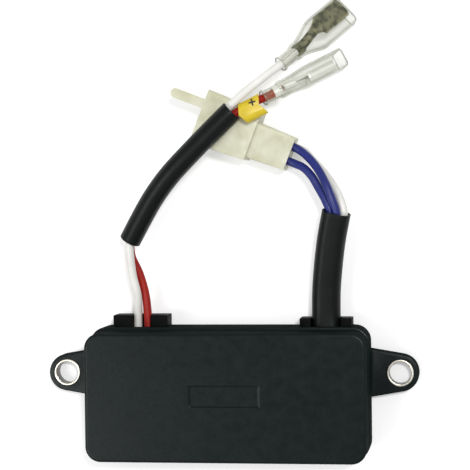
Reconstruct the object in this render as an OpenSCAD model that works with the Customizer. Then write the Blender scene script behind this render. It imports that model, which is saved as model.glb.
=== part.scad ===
// Automatic voltage regulator of a portable generator: a potted plastic case with two fixing ears,
// two spade terminals in clear boots on the field leads and a four-way plug on the sense leads.
// Origin: midway between the ear holes on the mounting plane. +X along the ears, +Y towards the leads.

/* [Case] */
// Width of the case at its flange
case_w = 81; // [79:0.5:90]
// Depth of the case at its flange
case_d = 38.1; // [36:0.1:46]
// Distance from the line of the ear holes to the lead-side wall
lead_side = 13.8; // [12:0.2:18]
// Corner radius of the case at its flange
corner_r = 4.6; // [4.2:0.2:7]
// Height of the base tray
base_h = 9; // [8.8:0.1:11]
// Height of the cover above the tray
cover_h = 12; // [11.5:0.5:16]
// Wall thickness of the tray and the cover
wall = 2; // [1.8:0.1:2.4]
// Thickness of the tray floor
floor_t = 1.8; // [1.4:0.1:2]
// Height of the flange round the cover
flange_h = 2; // [1.2:0.1:3]
// Step from the flange in to the raised panel at the ends and the far side
panel_inset = 0.15; // [0.1:0.05:0.6]
// Lip of the flange in front of the panel on the lead side
lead_lip = 0.9; // [0.6:0.1:2]
// Lean of the panel's sides from foot to top
panel_lean = 0.1; // [0.1:0.05:0.3]
// Rounding of the panel's top edge
panel_round = 0.8; // [0.4:0.1:1.4]
// Depth of the step in the tray rim that locates the cover
rim_step = 0.8; // [0.5:0.1:1]

/* [Plate recess] */
// Width of the bare recess in the panel
plate_w = 19.8; // [14:0.2:26]
// Height of the recess across the panel
plate_d = 5.9; // [4:0.1:9]
// Depth of the recess
plate_deep = 0.4; // [0.2:0.1:0.8]

/* [Ears] */
// Spacing of the two fixing holes
hole_spacing = 98; // [96:0.5:112]
// Thickness of an ear
ear_t = 4.5; // [3:0.1:6]
// Radius of an ear's round end
ear_tip_r = 5.4; // [4.8:0.1:6.5]
// Width of an ear where it leaves the case
ear_root_w = 13.9; // [12:0.1:18]
// Slope between an ear's top and the case wall
ear_slope = 1; // [0.5:0.1:1.6]
// Bore of the steel bushing
bushing_bore = 6.4; // [5.2:0.1:6.6]
// Outer diameter of the steel bushing
bushing_od = 7.8; // [7.4:0.1:8.4]
// How far the bushing stands above the ear
bushing_proud = 0.2; // [0:0.1:0.6]

/* [Cable grommets] */
// Place of the field-lead grommet along the wall
field_grommet_x = -26; // [-28:0.2:-25]
// Width of the field-lead grommet
field_grommet_w = 16; // [14:0.2:18]
// Place of the sense-lead grommet along the wall
sense_grommet_x = 28; // [26:0.2:29]
// Width of the sense-lead grommet
sense_grommet_w = 15; // [13:0.2:17]
// Length of the field-lead grommet outside the wall
field_grommet_out = 3.4; // [1.5:0.1:3.8]
// Length of the sense-lead grommet outside the wall
sense_grommet_out = 2.4; // [1.5:0.1:3.8]
// Length of a grommet inside the wall
grommet_in = 1.5; // [0.8:0.1:1.7]
// Overlap of a grommet's flanges round the wall notch
grommet_lap = 1; // [0.6:0.1:1.4]
// Rubber left between the notch floor and the tray floor
grommet_sill = 0.6; // [0.3:0.1:0.8]

/* [Leads] */
// Diameter of a lead over its insulation
lead_d = 2.4; // [2:0.1:2.4]
// Outer diameter of the round sleeve on the field leads
round_sleeve_d = 6.3; // [6.2:0.1:6.8]
// Width of the flattened sleeve on the sense leads
flat_sleeve_w = 8.3; // [8.2:0.1:8.8]
// Height of the flattened sleeve on the sense leads
flat_sleeve_h = 5.5; // [5.4:0.1:5.6]
// Wall of both sleeves
sleeve_wall = 0.4; // [0.3:0.05:0.5]

/* [Spade terminals and boots] */
// Length of a clear boot
boot_len = 26.5; // [25:0.5:30]
// Width of a boot at its open end
boot_w = 9.7; // [9.5:0.1:11]
// Thickness of a boot at its open end
boot_t = 5.8; // [5.4:0.1:6.6]
// Wall of a boot
boot_wall = 0.65; // [0.4:0.05:0.7]
// Outer diameter of a boot's narrow end
boot_neck_d = 4.1; // [4:0.1:4.6]
// Distance from a boot's narrow end to the terminal
terminal_set = 5.6; // [5.4:0.1:6.4]
// Width of the receptacle's rolled box
spade_w = 7.6; // [7:0.1:7.7]
// Height of the receptacle's rolled box
spade_h = 3; // [2.8:0.1:3.4]
// Length of the receptacle's rolled box
spade_len = 10.4; // [7:0.1:10.6]
// Thickness of the terminal sheet
sheet_t = 0.4; // [0.3:0.05:0.45]

/* [Marker ring] */
// Length of the yellow marker ring
marker_len = 6.5; // [5:0.1:7]
// Width of the marker ring
marker_w = 6.2; // [5.6:0.1:7]
// Thickness of the marker ring
marker_t = 4.2; // [3.8:0.1:4.4]

/* [Plug] */
// Spacing of the four contact cavities
pitch = 4.2; // [4:0.1:4.4]
// Length of the plug's rear block
block_len = 11.6; // [11:0.2:14]
// Width and height of the plug's rear block where the leads enter
block_w = 9.8; // [9.4:0.1:10.4]
// How much wider the rear block is where it meets the shroud
block_flare = 1; // [0.4:0.1:1.4]
// Length of the plug's shroud
shroud_len = 16.6; // [16:0.2:22]
// Width of the plug's shroud at its mouth
shroud_w = 16.2; // [15.6:0.1:17]
// How much wider the shroud is at its mouth than at its root
shroud_flare = 1.6; // [0.6:0.1:1.8]
// Height of the plug's shroud
shroud_h = 12; // [11.6:0.1:12]
// Wall of the plug's shroud
shroud_wall = 1; // [0.8:0.05:1.1]
// How far the shroud stands off the block's centre line
shroud_shift = 1.1; // [0.8:0.1:1.4]
// Length of the latch tongue in front of the shroud
tongue_len = 10.2; // [6:0.2:12]
// Width of the latch tongue
tongue_w = 2.9; // [2.2:0.1:3.6]

/* [Circuit board] */
// Thickness of the board
board_t = 1.6; // [1.2:0.1:1.8]
// Height of the bosses that carry the board
board_gap = 0.6; // [0.5:0.1:0.8]
// Gap between the board's edge and the tray wall
board_margin = 2; // [1.9:0.1:2.6]
// Diameter of a component's legs
leg_d = 0.8; // [0.6:0.05:0.9]
// Diameter of the filter capacitor's can
can_d = 10; // [8:0.5:11]
// Length of the filter capacitor's can
can_len = 20; // [16:0.5:21]
// Thickness of the aluminium heat sink
sink_t = 2; // [1.5:0.1:2.5]
// Depth of air left between the resin and the tray rim
resin_drop = 1; // [0.9:0.1:1.6]

/* [Hidden] */
$fn = 48;
hull_fn = 32;
lead_sides = 8;
sleeve_sides = 12;
eps = 0.05;

// How far a cutting shape runs past what it cuts
over = 1;

// Named clearances
press_gap = 0.05;
slip_gap = 0.1;
bay_gap = 0.2;
bead_gap = 0.25;

// Case
case_y = lead_side - case_d / 2;
panel_top = base_h + cover_h;
inner_w = case_w - 2 * wall;
inner_d = case_d - 2 * wall;
inner_r = corner_r - wall;
panel_w = case_w - 2 * panel_inset;
panel_d = case_d - lead_lip - panel_inset;
panel_y = lead_side - lead_lip - panel_d / 2;
panel_r = corner_r - panel_inset;
plate_rise = 0.525;
plate_y = panel_y + plate_rise;
roof_t = wall;
wall_y = lead_side - wall;
ear_x = hole_spacing / 2;
ear_reach = ear_x - case_w / 2;
tip_lap = 0.05;

// Lead exit: the flattened sleeve lies just under the cover's flange
sleeve_drop = 0.15;
exit_z = base_h - flat_sleeve_h / 2 - sleeve_drop;
lead_tail = 8.4;
lead_end_y = wall_y - lead_tail;
lead_straight = 3.8;
lead_out_y = lead_side + lead_straight;
field_pair = 2.9;
field_offset = 0.25;
field_mid_x = field_grommet_x + field_offset;
sleeve_back = 0.3;
white_field_x = field_mid_x - field_pair / 2;
red_field_x = field_mid_x + field_pair / 2;
trio_step = 2.1;
trio_low = -0.6;
trio_high = 0.75;
pair_step = 1.25;
white_twist = -85;
red_twist = 95;

// Board
board_w = inner_w - 2 * board_margin;
board_d = inner_d - 2 * board_margin;
board_corner = 1;
board_r = inner_r - board_corner;
board_z = floor_t + board_gap;
board_top = board_z + board_t;
board_far = case_y - board_d / 2;
part_edge = 2;
side_edge = 3;
boss_d = 5;
boss_in = 6;
resin_top = base_h - resin_drop;
leg_tail = 0.3;
leg_bend = 1.2;

// Heat sink and power transistor, lying flat
sink_w = 22;
sink_d = 14.6;
sink_x = -board_w / 2 + side_edge + sink_w / 2;
sink_y = board_far + part_edge + sink_d / 2;
tab_w = 10;
tab_len = 6.6;
tab_t = 1.3;
tab_hole = 3.6;
tab_lap = 1;
body_set = 0.6;
body_front = sink_y + sink_d / 2 - body_set;
body_len = 9;
body_back = body_front - body_len;
tab_back = body_back - tab_len + tab_lap;
body_t = 4.5;
fin_pitch = 2.54;
leg_rise = 2.4;
leg_run = 2.6;

// Rectifier
bridge_w = 15;
bridge_d = 11;
bridge_h = 5;
bridge_x = board_w / 2 - side_edge - bridge_w / 2;
bridge_y = board_far + part_edge + bridge_d / 2;
bridge_pitch = 3.8;
bridge_cut = 2.5;

// Capacitors
can_x = 2;
can_y = board_far + part_edge + can_d / 2;
can_legs = 5;
can_groove_at = 3;
can_groove_r = 0.7;
can_groove_deep = 0.45;
film_w = 13;
film_d = 6;
film_h = 10;
film_x = -3;
film_offset = 6.3;
film_y = case_y + film_offset;
film_pitch = 10;

// Small components: resistors, zener diodes and one signal transistor
resistor_d = 4.4;
resistor_len = 10;
resistor_x = 14;
resistor_offsets = [1.9, 7.5];
resistor_ys = [for (offset = resistor_offsets) case_y + offset];
zener_d = 2.7;
zener_len = 5.2;
zener_xs = [9, 19];
zener_offset = 12.7;
zener_y = case_y + zener_offset;
signal_d = 4.8;
signal_h = 4.8;
signal_flat = 1.2;
signal_stand = 1;
signal_x = -15;
signal_offset = 8.3;
signal_y = case_y + signal_offset;
signal_pitch = 1.9;

// Places where the components' legs pass through the board
legs = concat(
    [for (k = [-1 : 1]) [sink_x + k * fin_pitch, body_front + leg_run]],
    [for (k = [0 : 3]) [bridge_x + (k - 1.5) * bridge_pitch, bridge_y + bridge_d / 2 + leg_run]],
    [for (k = [-0.5, 0.5]) [can_x + can_len / 2 + leg_run, can_y + k * can_legs]],
    [for (k = [-0.5, 0.5]) [film_x + k * film_pitch, film_y]],
    [for (y = resistor_ys, k = [-1, 1]) [resistor_x + k * (resistor_len / 2 + leg_run), y]],
    [for (x = zener_xs, k = [-1, 1]) [x + k * (zener_len / 2 + leg_run / 2), zener_y]],
    [for (k = [-1 : 1]) [signal_x + k * signal_pitch, signal_y]]);

// Plug: rear face centre, heading of its mouth and height of its centre line
plug_at = [18.3, 63.3];
plug_turn = 158.5;
plug_z = shroud_h / 2;
plug_len = block_len + shroud_len;
plug_floor = 1;
block_r = 0.9;
shroud_r = 1.2;
bay_r = 0.6;
cavity_d = 3.3;
contact_set = 1;
lead_in = 3.5;
barrel_d = 3.1;
contact_len = 8.4;
pin_d = 1.2;
pin_reach = 8.4;
pin_end = block_len + pin_reach;
latch_slot_h = 5;
tongue_y = -4.8;
tongue_root = 1.2;
barb_len = 2.4;
barb_h = 1.2;

// Boots: tail point, heading, dip and roll
minus_tail = [16.5, 88.5, 15.4];
minus_turn = 42;
minus_dip = 25;
minus_roll = -18;
plus_tail = [11.3, 79.1, 14.3];
plus_turn = 27.5;
plus_dip = 21;
plus_roll = 90;
flat_side_up = 180;
boot_neck_len = 5;
boot_collar_d = 5.2;
boot_collar_at = 6.6;
boot_collar_len = 1;
boot_flare_end = 14;
boot_r = 1.6;
wrap_len = 3;
crimp_len = 4.4;
crimp_r = 1;
crimp_spread = 0.7;
strap_len = 2;
strap_w = 2.4;
tab_gap = 0.9;

// Marker: centre on the red lead, heading and dip
marker_at = [7.9, 77.4, 14.9];
marker_turn = 27.5;
marker_dip = 6;
marker_hang = 1.3;
marker_point = 1.2;
marker_slant = 1.8;

// Routes of the sleeves
round_route = [
    [-28.6, 39, 9.2], [-25, 45, 11], [-20.8, 51.5, 12.8], [-15.8, 57.7, 14.4],
    [-10.6, 63, 15.3], [-4.8, 68.7, 15.5], [2.5, 75.7, 15.5]];
flat_route = [
    [sense_grommet_x, wall_y - grommet_in + sleeve_back, exit_z], [sense_grommet_x, lead_out_y, exit_z],
    [28.2, 24, 7], [28.9, 31, 8.5], [30, 38.6, 10.2], [31.7, 46.6, 12.2]];

// Sweep helpers: headings, level frames and rings along a route
function unit(v) = v / norm(v);
function heading(p, i) = unit(p[min(i + 1, len(p) - 1)] - p[max(i - 1, 0)]);
function squared(v, t) = unit(v - (v * t) * t);
function uprights(p, up, i = 0) = i == len(p) ? [] :
    let (u = squared(up, heading(p, i))) concat([u], uprights(p, u, i + 1));
function ring(p, t, u, section) = [for (s = section) p + s[0] * cross(t, u) + s[1] * u];
function rings(p, section) = let (ups = uprights(p, [0, 0, 1]))
    [for (i = [0 : len(p) - 1]) each ring(p[i], heading(p, i), ups[i], section)];
function round_section(d, n) = [for (k = [0 : n - 1])
    let (a = 360 * (k + 0.5) / n) d / 2 * [cos(a), sin(a)]];
function flat_section(w, h, n) = [for (s = round_section(h, n)) [s[0] + sign(s[0]) * (w - h) / 2, s[1]]];
function blend(a, b, i, n) = a + (b - a) * i / (n - 1);

// Points beside a sleeve's centre line: r away, turned from a0 to a1 along the route
function turned_beside(p, r, a0, a1) = let (ups = uprights(p, [0, 0, 1]), n = len(p))
    [for (i = [0 : n - 1]) let (a = blend(a0, a1, i, n))
        p[i] + r * (sin(a) * cross(heading(p, i), ups[i]) + cos(a) * ups[i])];
function level_beside(p, right, up) = let (ups = uprights(p, [0, 0, 1]))
    [for (i = [0 : len(p) - 1]) p[i] + right * cross(heading(p, i), ups[i]) + up * ups[i]];

// Points on a boot's axis, in the marker and on a plug cavity's axis
function aim(turn, dip) = [cos(turn) * cos(dip), sin(turn) * cos(dip), -sin(dip)];
function in_plug(x, y, z) = [
    plug_at[0] + x * cos(plug_turn) - y * sin(plug_turn),
    plug_at[1] + x * sin(plug_turn) + y * cos(plug_turn), plug_z + z];

terminal_stop = terminal_set + wrap_len;
marker_half = marker_len / 2 * aim(marker_turn, marker_dip);

// Routes of the five leads
white_field_route = concat(
    [[white_field_x, lead_end_y, exit_z], [white_field_x, lead_out_y, exit_z],
     [-26.9, 22.4, 7.7], [-27.9, 28, 9], [-28.5, 33.6, 9.9]],
    turned_beside(round_route, pair_step, 0, white_twist),
    [[5.6, 80.2, 16.6], [9.1, 82.9, 16.8], [12.9, 85.8, 16.4], minus_tail,
     minus_tail + terminal_stop * aim(minus_turn, minus_dip)]);
red_field_route = concat(
    [[red_field_x, lead_end_y, exit_z], [red_field_x, lead_out_y, exit_z],
     [-25, 23.6, 6.1], [-26.5, 29.4, 6.4], [-27.9, 34.6, 7.2]],
    turned_beside(round_route, pair_step, 180, red_twist),
    [marker_at - marker_half, marker_at + marker_half, plus_tail,
     plus_tail + terminal_stop * aim(plus_turn, plus_dip)]);
blue_upper_route = concat(
    [[sense_grommet_x, lead_end_y, exit_z + trio_high]], level_beside(flat_route, 0, trio_high),
    [[30.3, 50.8, 13.2], [28.9, 54.4, 12.8], [26.9, 58.2, 11.4], [24.1, 61.8, 9.6],
     in_plug(-1.6, -pitch / 2, pitch / 2), in_plug(lead_in, -pitch / 2, pitch / 2)]);
blue_lower_route = concat(
    [[sense_grommet_x - trio_step, lead_end_y, exit_z + trio_low]],
    level_beside(flat_route, -trio_step, trio_low),
    [[28.5, 50, 11.3], [26.5, 53.6, 10.5], [24.4, 57.1, 9.9], [21.9, 59.5, 9],
     in_plug(-2.2, pitch / 2, pitch / 2), in_plug(lead_in, pitch / 2, pitch / 2)]);
white_sense_route = concat(
    [[sense_grommet_x + trio_step, lead_end_y, exit_z + trio_low]],
    level_beside(flat_route, trio_step, trio_low),
    [[32.6, 50.7, 11.1], [30.4, 54.7, 9.7], [27.6, 58.3, 7.8], [24.6, 61.4, 5.6],
     in_plug(-3, -pitch / 2, -pitch / 2), in_plug(lead_in, -pitch / 2, -pitch / 2)]);

// Holes that the leads leave in the resin: place along the wall and height
lead_holes = [
    [white_field_x, exit_z], [red_field_x, exit_z], [sense_grommet_x, exit_z + trio_high],
    [sense_grommet_x - trio_step, exit_z + trio_low], [sense_grommet_x + trio_step, exit_z + trio_low]];

// Shared shapes

module rounded_rect(w, d, r) {
    square([w - 2 * r, d], center = true);
    square([w, d - 2 * r], center = true);
    for (x = [-1, 1], y = [-1, 1]) translate([x * (w / 2 - r), y * (d / 2 - r)]) circle(r);
}

// A prism on the case's own outline, drawn in from it all round
module case_prism(inset, z, h) {
    translate([0, case_y, z]) linear_extrude(h)
        rounded_rect(case_w - 2 * inset, case_d - 2 * inset, corner_r - inset);
}

module along_x(d, len) {
    rotate([0, 90, 0]) cylinder(d = d, h = len);
}

module along_y(d, len) {
    rotate([-90, 0, 0]) cylinder(d = d, h = len);
}

module solid_sweep(p, section) {
    m = len(section);
    last = (len(p) - 1) * m;
    polyhedron(rings(p, section), concat(
        [[for (j = [m - 1 : -1 : 0]) j], [for (j = [0 : m - 1]) last + j]],
        [for (i = [0 : len(p) - 2], j = [0 : m - 1]) let (k = (j + 1) % m)
            [i * m + j, i * m + k, (i + 1) * m + k, (i + 1) * m + j]]));
}

module hollow_sweep(p, outer, inner) {
    m = len(outer);
    n = len(p) * m;
    last = n - m;
    polyhedron(concat(rings(p, outer), rings(p, inner)), concat(
        [for (j = [0 : m - 1]) let (k = (j + 1) % m) [k, j, n + j, n + k]],
        [for (j = [0 : m - 1]) let (k = (j + 1) % m) [last + j, last + k, n + last + k, n + last + j]],
        [for (i = [0 : len(p) - 2], j = [0 : m - 1]) let (k = (j + 1) % m, a = i * m, b = a + m)
            [a + j, a + k, b + k, b + j]],
        [for (i = [0 : len(p) - 2], j = [0 : m - 1]) let (k = (j + 1) % m, a = n + i * m, b = a + m)
            [a + j, b + j, b + k, a + k]]));
}

module lead(route) {
    solid_sweep(route, round_section(lead_d, lead_sides));
}

// Case

module ear_outline() {
    seat_r = ear_tip_r - tip_lap;
    touch = atan2(ear_root_w / 2, -ear_reach) - acos(seat_r / norm([ear_reach, ear_root_w / 2]));
    tx = seat_r * cos(touch);
    ty = seat_r * sin(touch);
    root = -ear_reach - wall / 2;
    polygon([
        [root, -ear_root_w / 2], [-ear_reach, -ear_root_w / 2], [tx, -ty],
        [tx, ty], [-ear_reach, ear_root_w / 2], [root, ear_root_w / 2]]);
    circle(ear_tip_r);
}

module ears() {
    for (side = [0, 1]) mirror([side, 0, 0]) translate([ear_x, 0, 0]) linear_extrude(ear_t) ear_outline();
}

module ear_slopes() {
    half = (ear_root_w - ear_slope) / 2;
    for (side = [0, 1]) mirror([side, 0, 0]) translate([case_w / 2, half, ear_t]) rotate([90, 0, 0])
        linear_extrude(2 * half) polygon([
            [ear_slope, 0], [ear_slope, -wall / 2], [-wall / 2, -wall / 2],
            [-wall / 2, ear_slope], [0, ear_slope]]);
}

module ear_holes() {
    for (side = [-1, 1]) translate([side * ear_x, 0, -over])
        cylinder(d = bushing_od + 2 * press_gap, h = ear_t + 2 * over);
}

module wall_notch(x, w) {
    notch_w = w - 2 * grommet_lap + 2 * press_gap;
    notch_z = floor_t + grommet_sill - press_gap;
    translate([x - notch_w / 2, wall_y - over, notch_z]) cube([notch_w, wall + 2 * over, base_h]);
}

module board_bosses() {
    for (x = [-1, 1], y = [-1, 1])
        translate([x * (board_w / 2 - boss_in), case_y + y * (board_d / 2 - boss_in), floor_t / 2])
            cylinder(d = boss_d, h = board_z - floor_t / 2);
}

module case_base() color("#262b2a") {
    difference() {
        union() {
            case_prism(0, 0, base_h);
            ears();
            ear_slopes();
        }
        case_prism(wall, floor_t, base_h);
        case_prism(wall / 2, base_h - rim_step, base_h);
        wall_notch(field_grommet_x, field_grommet_w);
        wall_notch(sense_grommet_x, sense_grommet_w);
        ear_holes();
    }
    board_bosses();
}

// One corner post of the raised panel: a leaning side that rolls over into the top
module panel_post(foot_r, h) {
    top_r = foot_r - panel_lean;
    round_at = h - panel_round;
    rotate_extrude($fn = hull_fn) polygon(concat(
        [[0, 0], [foot_r, 0]],
        [for (a = [0 : 15 : 90]) [top_r - panel_round * (1 - cos(a)), round_at + panel_round * sin(a)]],
        [[0, h]]));
}

module raised_panel() {
    w = panel_w / 2 - panel_r;
    d = panel_d / 2 - panel_r;
    hull() for (x = [-1, 1], y = [-1, 1])
        translate([x * w, panel_y + y * d, base_h]) panel_post(panel_r, cover_h);
}

module cover_cavity() {
    side = wall + panel_lean;
    translate([0, panel_y, base_h - over]) linear_extrude(cover_h - roof_t + over)
        rounded_rect(panel_w - 2 * side, panel_d - 2 * side, panel_r - side);
}

module cover_spigot() {
    difference() {
        case_prism(wall / 2 + slip_gap, base_h - rim_step + slip_gap, rim_step + flange_h / 2);
        case_prism(wall, base_h - rim_step - over, rim_step + flange_h + 2 * over);
        for (g = [[field_grommet_x, field_grommet_w], [sense_grommet_x, sense_grommet_w]])
            translate([g[0] - g[1] / 2 - slip_gap, wall_y - over, base_h - rim_step - over])
                cube([g[1] + 2 * slip_gap, wall + 2 * over, rim_step + over]);
    }
}

module case_cover() color("#2b3130") difference() {
    union() {
        case_prism(0, base_h, flange_h);
        raised_panel();
        cover_spigot();
    }
    cover_cavity();
    translate([-plate_w / 2, plate_y - plate_d / 2, panel_top - plate_deep])
        cube([plate_w, plate_d, plate_deep + over]);
}

module bushing(side) {
    translate([side * ear_x, 0, 0]) difference() {
        cylinder(d = bushing_od, h = ear_t + bushing_proud);
        translate([0, 0, -over]) cylinder(d = bushing_bore, h = ear_t + bushing_proud + 2 * over);
    }
}

module left_bushing() color("#c9c7bf") bushing(-1);

module right_bushing() color("#c9c7bf") bushing(1);

// Cable grommets: two flanges and a neck that fills the wall notch, with a channel open to the top
module inner_flange(x, w) {
    intersection() {
        translate([x - w / 2, wall_y - grommet_in, floor_t]) cube([w, grommet_in + wall, base_h - floor_t]);
        case_prism(wall, 0, 2 * base_h);
    }
}

module outer_flange(x, w, out) {
    z = floor_t + grommet_sill - grommet_lap;
    difference() {
        translate([x - w / 2, wall_y, z]) cube([w, wall + out, base_h - z]);
        case_prism(0, -over, 2 * base_h);
    }
}

module grommet_body(x, w, out) {
    z = floor_t + grommet_sill;
    neck_w = w - 2 * grommet_lap;
    translate([x - neck_w / 2, wall_y - eps, z]) cube([neck_w, wall + 2 * eps, base_h - z]);
    inner_flange(x, w);
    outer_flange(x, w, out);
}

module lead_channel(x, w, h, out) {
    y = wall_y - grommet_in - over;
    len = grommet_in + wall + out + 2 * over;
    for (side = [-1, 1]) translate([x + side * (w - h) / 2, y, exit_z]) along_y(h, len);
    translate([x - (w - h) / 2, y, exit_z - h / 2]) cube([w - h, len, h]);
    translate([x - w / 2, y, exit_z]) cube([w, len, base_h]);
}

module field_grommet() color("#141616") difference() {
    grommet_body(field_grommet_x, field_grommet_w, field_grommet_out);
    lead_channel(field_mid_x, field_pair + lead_d + 2 * slip_gap, lead_d + 2 * slip_gap, field_grommet_out);
}

module sense_grommet() color("#141616") difference() {
    grommet_body(sense_grommet_x, sense_grommet_w, sense_grommet_out);
    lead_channel(sense_grommet_x, flat_sleeve_w + 2 * slip_gap, flat_sleeve_h + 2 * slip_gap,
        sense_grommet_out);
}

// Circuit board and its components

module board_blank() {
    translate([0, case_y, board_z]) linear_extrude(board_t) rounded_rect(board_w, board_d, board_r);
}

module circuit_board() color("#3f6b3a") difference() {
    board_blank();
    for (p = legs) translate([p[0], p[1], board_z - over])
        cylinder(d = leg_d + 2 * slip_gap, h = board_t + 2 * over);
}

// A leg that runs straight down through the board
module straight_leg(x, y, top) {
    translate([x, y, board_z - leg_tail]) cylinder(d = leg_d, h = top - board_z + leg_tail);
}

// A leg that leaves its body level at the origin along +X, turns over and goes down through the board
module bent_leg(run, z) {
    along_x(leg_d, run - leg_bend);
    translate([run - leg_bend, 0, -leg_bend]) rotate([90, 0, 0])
        rotate_extrude(angle = 90) translate([leg_bend, 0]) circle(d = leg_d);
    translate([run, 0, board_z - leg_tail - z]) cylinder(d = leg_d, h = z - leg_bend - board_z + leg_tail);
}

// Heat sink, with a rivet that fills the hole in the transistor's tab
module heat_sink() color("#b9bcbd") {
    translate([sink_x - sink_w / 2, sink_y - sink_d / 2, board_top]) cube([sink_w, sink_d, sink_t]);
    translate([sink_x, tab_back + tab_len / 2, board_top + sink_t - eps]) cylinder(d = tab_hole, h = tab_t + eps);
}

module power_transistor() color("#1d1d1f") {
    z = board_top + sink_t;
    translate([sink_x - tab_w / 2, body_back, z]) cube([tab_w, body_len, body_t]);
    difference() {
        translate([sink_x - tab_w / 2, tab_back, z]) cube([tab_w, tab_len, tab_t]);
        translate([sink_x, tab_back + tab_len / 2, z - over]) cylinder(d = tab_hole, h = tab_t + 2 * over);
    }
    for (k = [-1 : 1]) translate([sink_x + k * fin_pitch, body_front, z + leg_rise])
        rotate([0, 0, 90]) bent_leg(leg_run, z + leg_rise);
}

module bridge_rectifier() color("#202022") {
    difference() {
        translate([bridge_x - bridge_w / 2, bridge_y - bridge_d / 2, board_top])
            cube([bridge_w, bridge_d, bridge_h]);
        translate([bridge_x + bridge_w / 2, bridge_y - bridge_d / 2, board_top])
            rotate([0, 0, 45]) cube([bridge_cut, bridge_cut, 2 * bridge_h + 2 * over], center = true);
    }
    for (k = [0 : 3])
        translate([bridge_x + (k - 1.5) * bridge_pitch, bridge_y + bridge_d / 2, board_top + bridge_h / 2])
            rotate([0, 0, 90]) bent_leg(leg_run, board_top + bridge_h / 2);
}

module filter_capacitor() color("#2a3350") {
    z = board_top + can_d / 2 + slip_gap;
    translate([can_x - can_len / 2, can_y, z]) difference() {
        along_x(can_d, can_len);
        translate([can_len - can_groove_at, 0, 0]) rotate([0, 90, 0]) rotate_extrude()
            translate([can_d / 2 + can_groove_r - can_groove_deep, 0]) circle(can_groove_r);
    }
    for (k = [-0.5, 0.5]) translate([can_x + can_len / 2, can_y + k * can_legs, z]) bent_leg(leg_run, z);
}

module film_capacitor() color("#8a2f28") {
    translate([film_x - film_w / 2, film_y - film_d / 2, board_top]) cube([film_w, film_d, film_h]);
    for (k = [-0.5, 0.5]) straight_leg(film_x + k * film_pitch, film_y, board_top);
}

module axial_part(x, y, d, len, run) {
    z = board_top + d / 2 + slip_gap;
    translate([x - len / 2, y, z]) along_x(d, len);
    for (side = [0, 1]) translate([x, y, z]) rotate([0, 0, 180 * side])
        translate([len / 2, 0, 0]) bent_leg(run, z);
}

module resistors() color("#c2ad84")
    for (y = resistor_ys) axial_part(resistor_x, y, resistor_d, resistor_len, leg_run);

module zener_diodes() color("#9c4a2c")
    for (x = zener_xs) axial_part(x, zener_y, zener_d, zener_len, leg_run / 2);

module signal_transistor() color("#1d1d1f") {
    difference() {
        translate([signal_x, signal_y, board_top + signal_stand]) cylinder(d = signal_d, h = signal_h);
        translate([signal_x - signal_d, signal_y - signal_d - signal_flat, board_top])
            cube([2 * signal_d, signal_d, signal_stand + signal_h + over]);
    }
    for (k = [-1 : 1]) straight_leg(signal_x + k * signal_pitch, signal_y, board_top + signal_stand);
}

module potting_resin() color("#30302c") difference() {
    case_prism(wall, floor_t, resin_top - floor_t);
    board_bosses();
    board_blank();
    heat_sink();
    power_transistor();
    bridge_rectifier();
    filter_capacitor();
    film_capacitor();
    resistors();
    zener_diodes();
    signal_transistor();
    inner_flange(field_grommet_x, field_grommet_w);
    inner_flange(sense_grommet_x, sense_grommet_w);
    for (h = lead_holes) translate([h[0], lead_end_y, h[1]])
        along_y(lead_d + slip_gap, wall_y - lead_end_y);
}

// Leads and sleeves

module white_field_lead() color("#e4e3dc") lead(white_field_route);

module red_field_lead() color("#a8281e") lead(red_field_route);

module blue_upper_lead() color("#3b3f8c") lead(blue_upper_route);

module blue_lower_lead() color("#3b3f8c") lead(blue_lower_route);

module white_sense_lead() color("#e4e3dc") lead(white_sense_route);

module round_sleeve() color("#1a1c1c") hollow_sweep(round_route,
    round_section(round_sleeve_d, sleeve_sides),
    round_section(round_sleeve_d - 2 * sleeve_wall, sleeve_sides));

module flat_sleeve() color("#1a1c1c") hollow_sweep(flat_route,
    flat_section(flat_sleeve_w, flat_sleeve_h, sleeve_sides),
    flat_section(flat_sleeve_w - 2 * sleeve_wall, flat_sleeve_h - 2 * sleeve_wall, sleeve_sides));

// Marker ring: an oval ring that hangs to one side of its lead, with a pointed and a notched end
module marker_oval(w, t) {
    for (side = [-1, 1]) translate([0, side * (w - t) / 2]) circle(d = t);
    square([t, w - t], center = true);
}

module marker_arrow(x) {
    half = marker_w / 2 + over;
    linear_extrude(2 * marker_t, center = true) polygon([
        [x, 0], [x + marker_slant, -half], [x + 2 * marker_len, -half],
        [x + 2 * marker_len, half], [x + marker_slant, half]]);
}

module marker_ring() color("#e0c43c") translate(marker_at) rotate([0, marker_dip, marker_turn])
    difference() {
        translate([-marker_len / 2 - marker_point, -marker_hang, 0]) rotate([0, 90, 0])
            linear_extrude(marker_len + 2 * marker_point) marker_oval(marker_w, marker_t);
        translate([-marker_len, 0, 0]) along_x(lead_d + 2 * bead_gap, 2 * marker_len);
        translate([marker_len / 2, -marker_hang, 0]) marker_arrow(-marker_point);
        difference() {
            translate([-2 * marker_len, -marker_hang - marker_w, -marker_t])
                cube([2 * marker_len, 2 * marker_w, 2 * marker_t]);
            translate([-marker_len / 2, -marker_hang, 0]) marker_arrow(-marker_point);
        }
    }

// Spade terminals: wrap and crimp on the lead, strap, and a flat box with rolled edges
module on_boot_axis(tail, turn, dip, roll) {
    translate(tail) rotate([roll, dip, turn]) children();
}

module rolled_box() {
    roll_r = spade_h / 2;
    translate([-spade_w / 2 + roll_r, 0]) square([spade_w - 2 * roll_r, sheet_t]);
    for (side = [0, 1]) mirror([side, 0]) translate([spade_w / 2 - roll_r, roll_r]) difference() {
        circle(roll_r);
        circle(roll_r - sheet_t);
        translate([-2 * roll_r, sheet_t - roll_r]) square([2 * roll_r, tab_gap]);
    }
}

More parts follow.
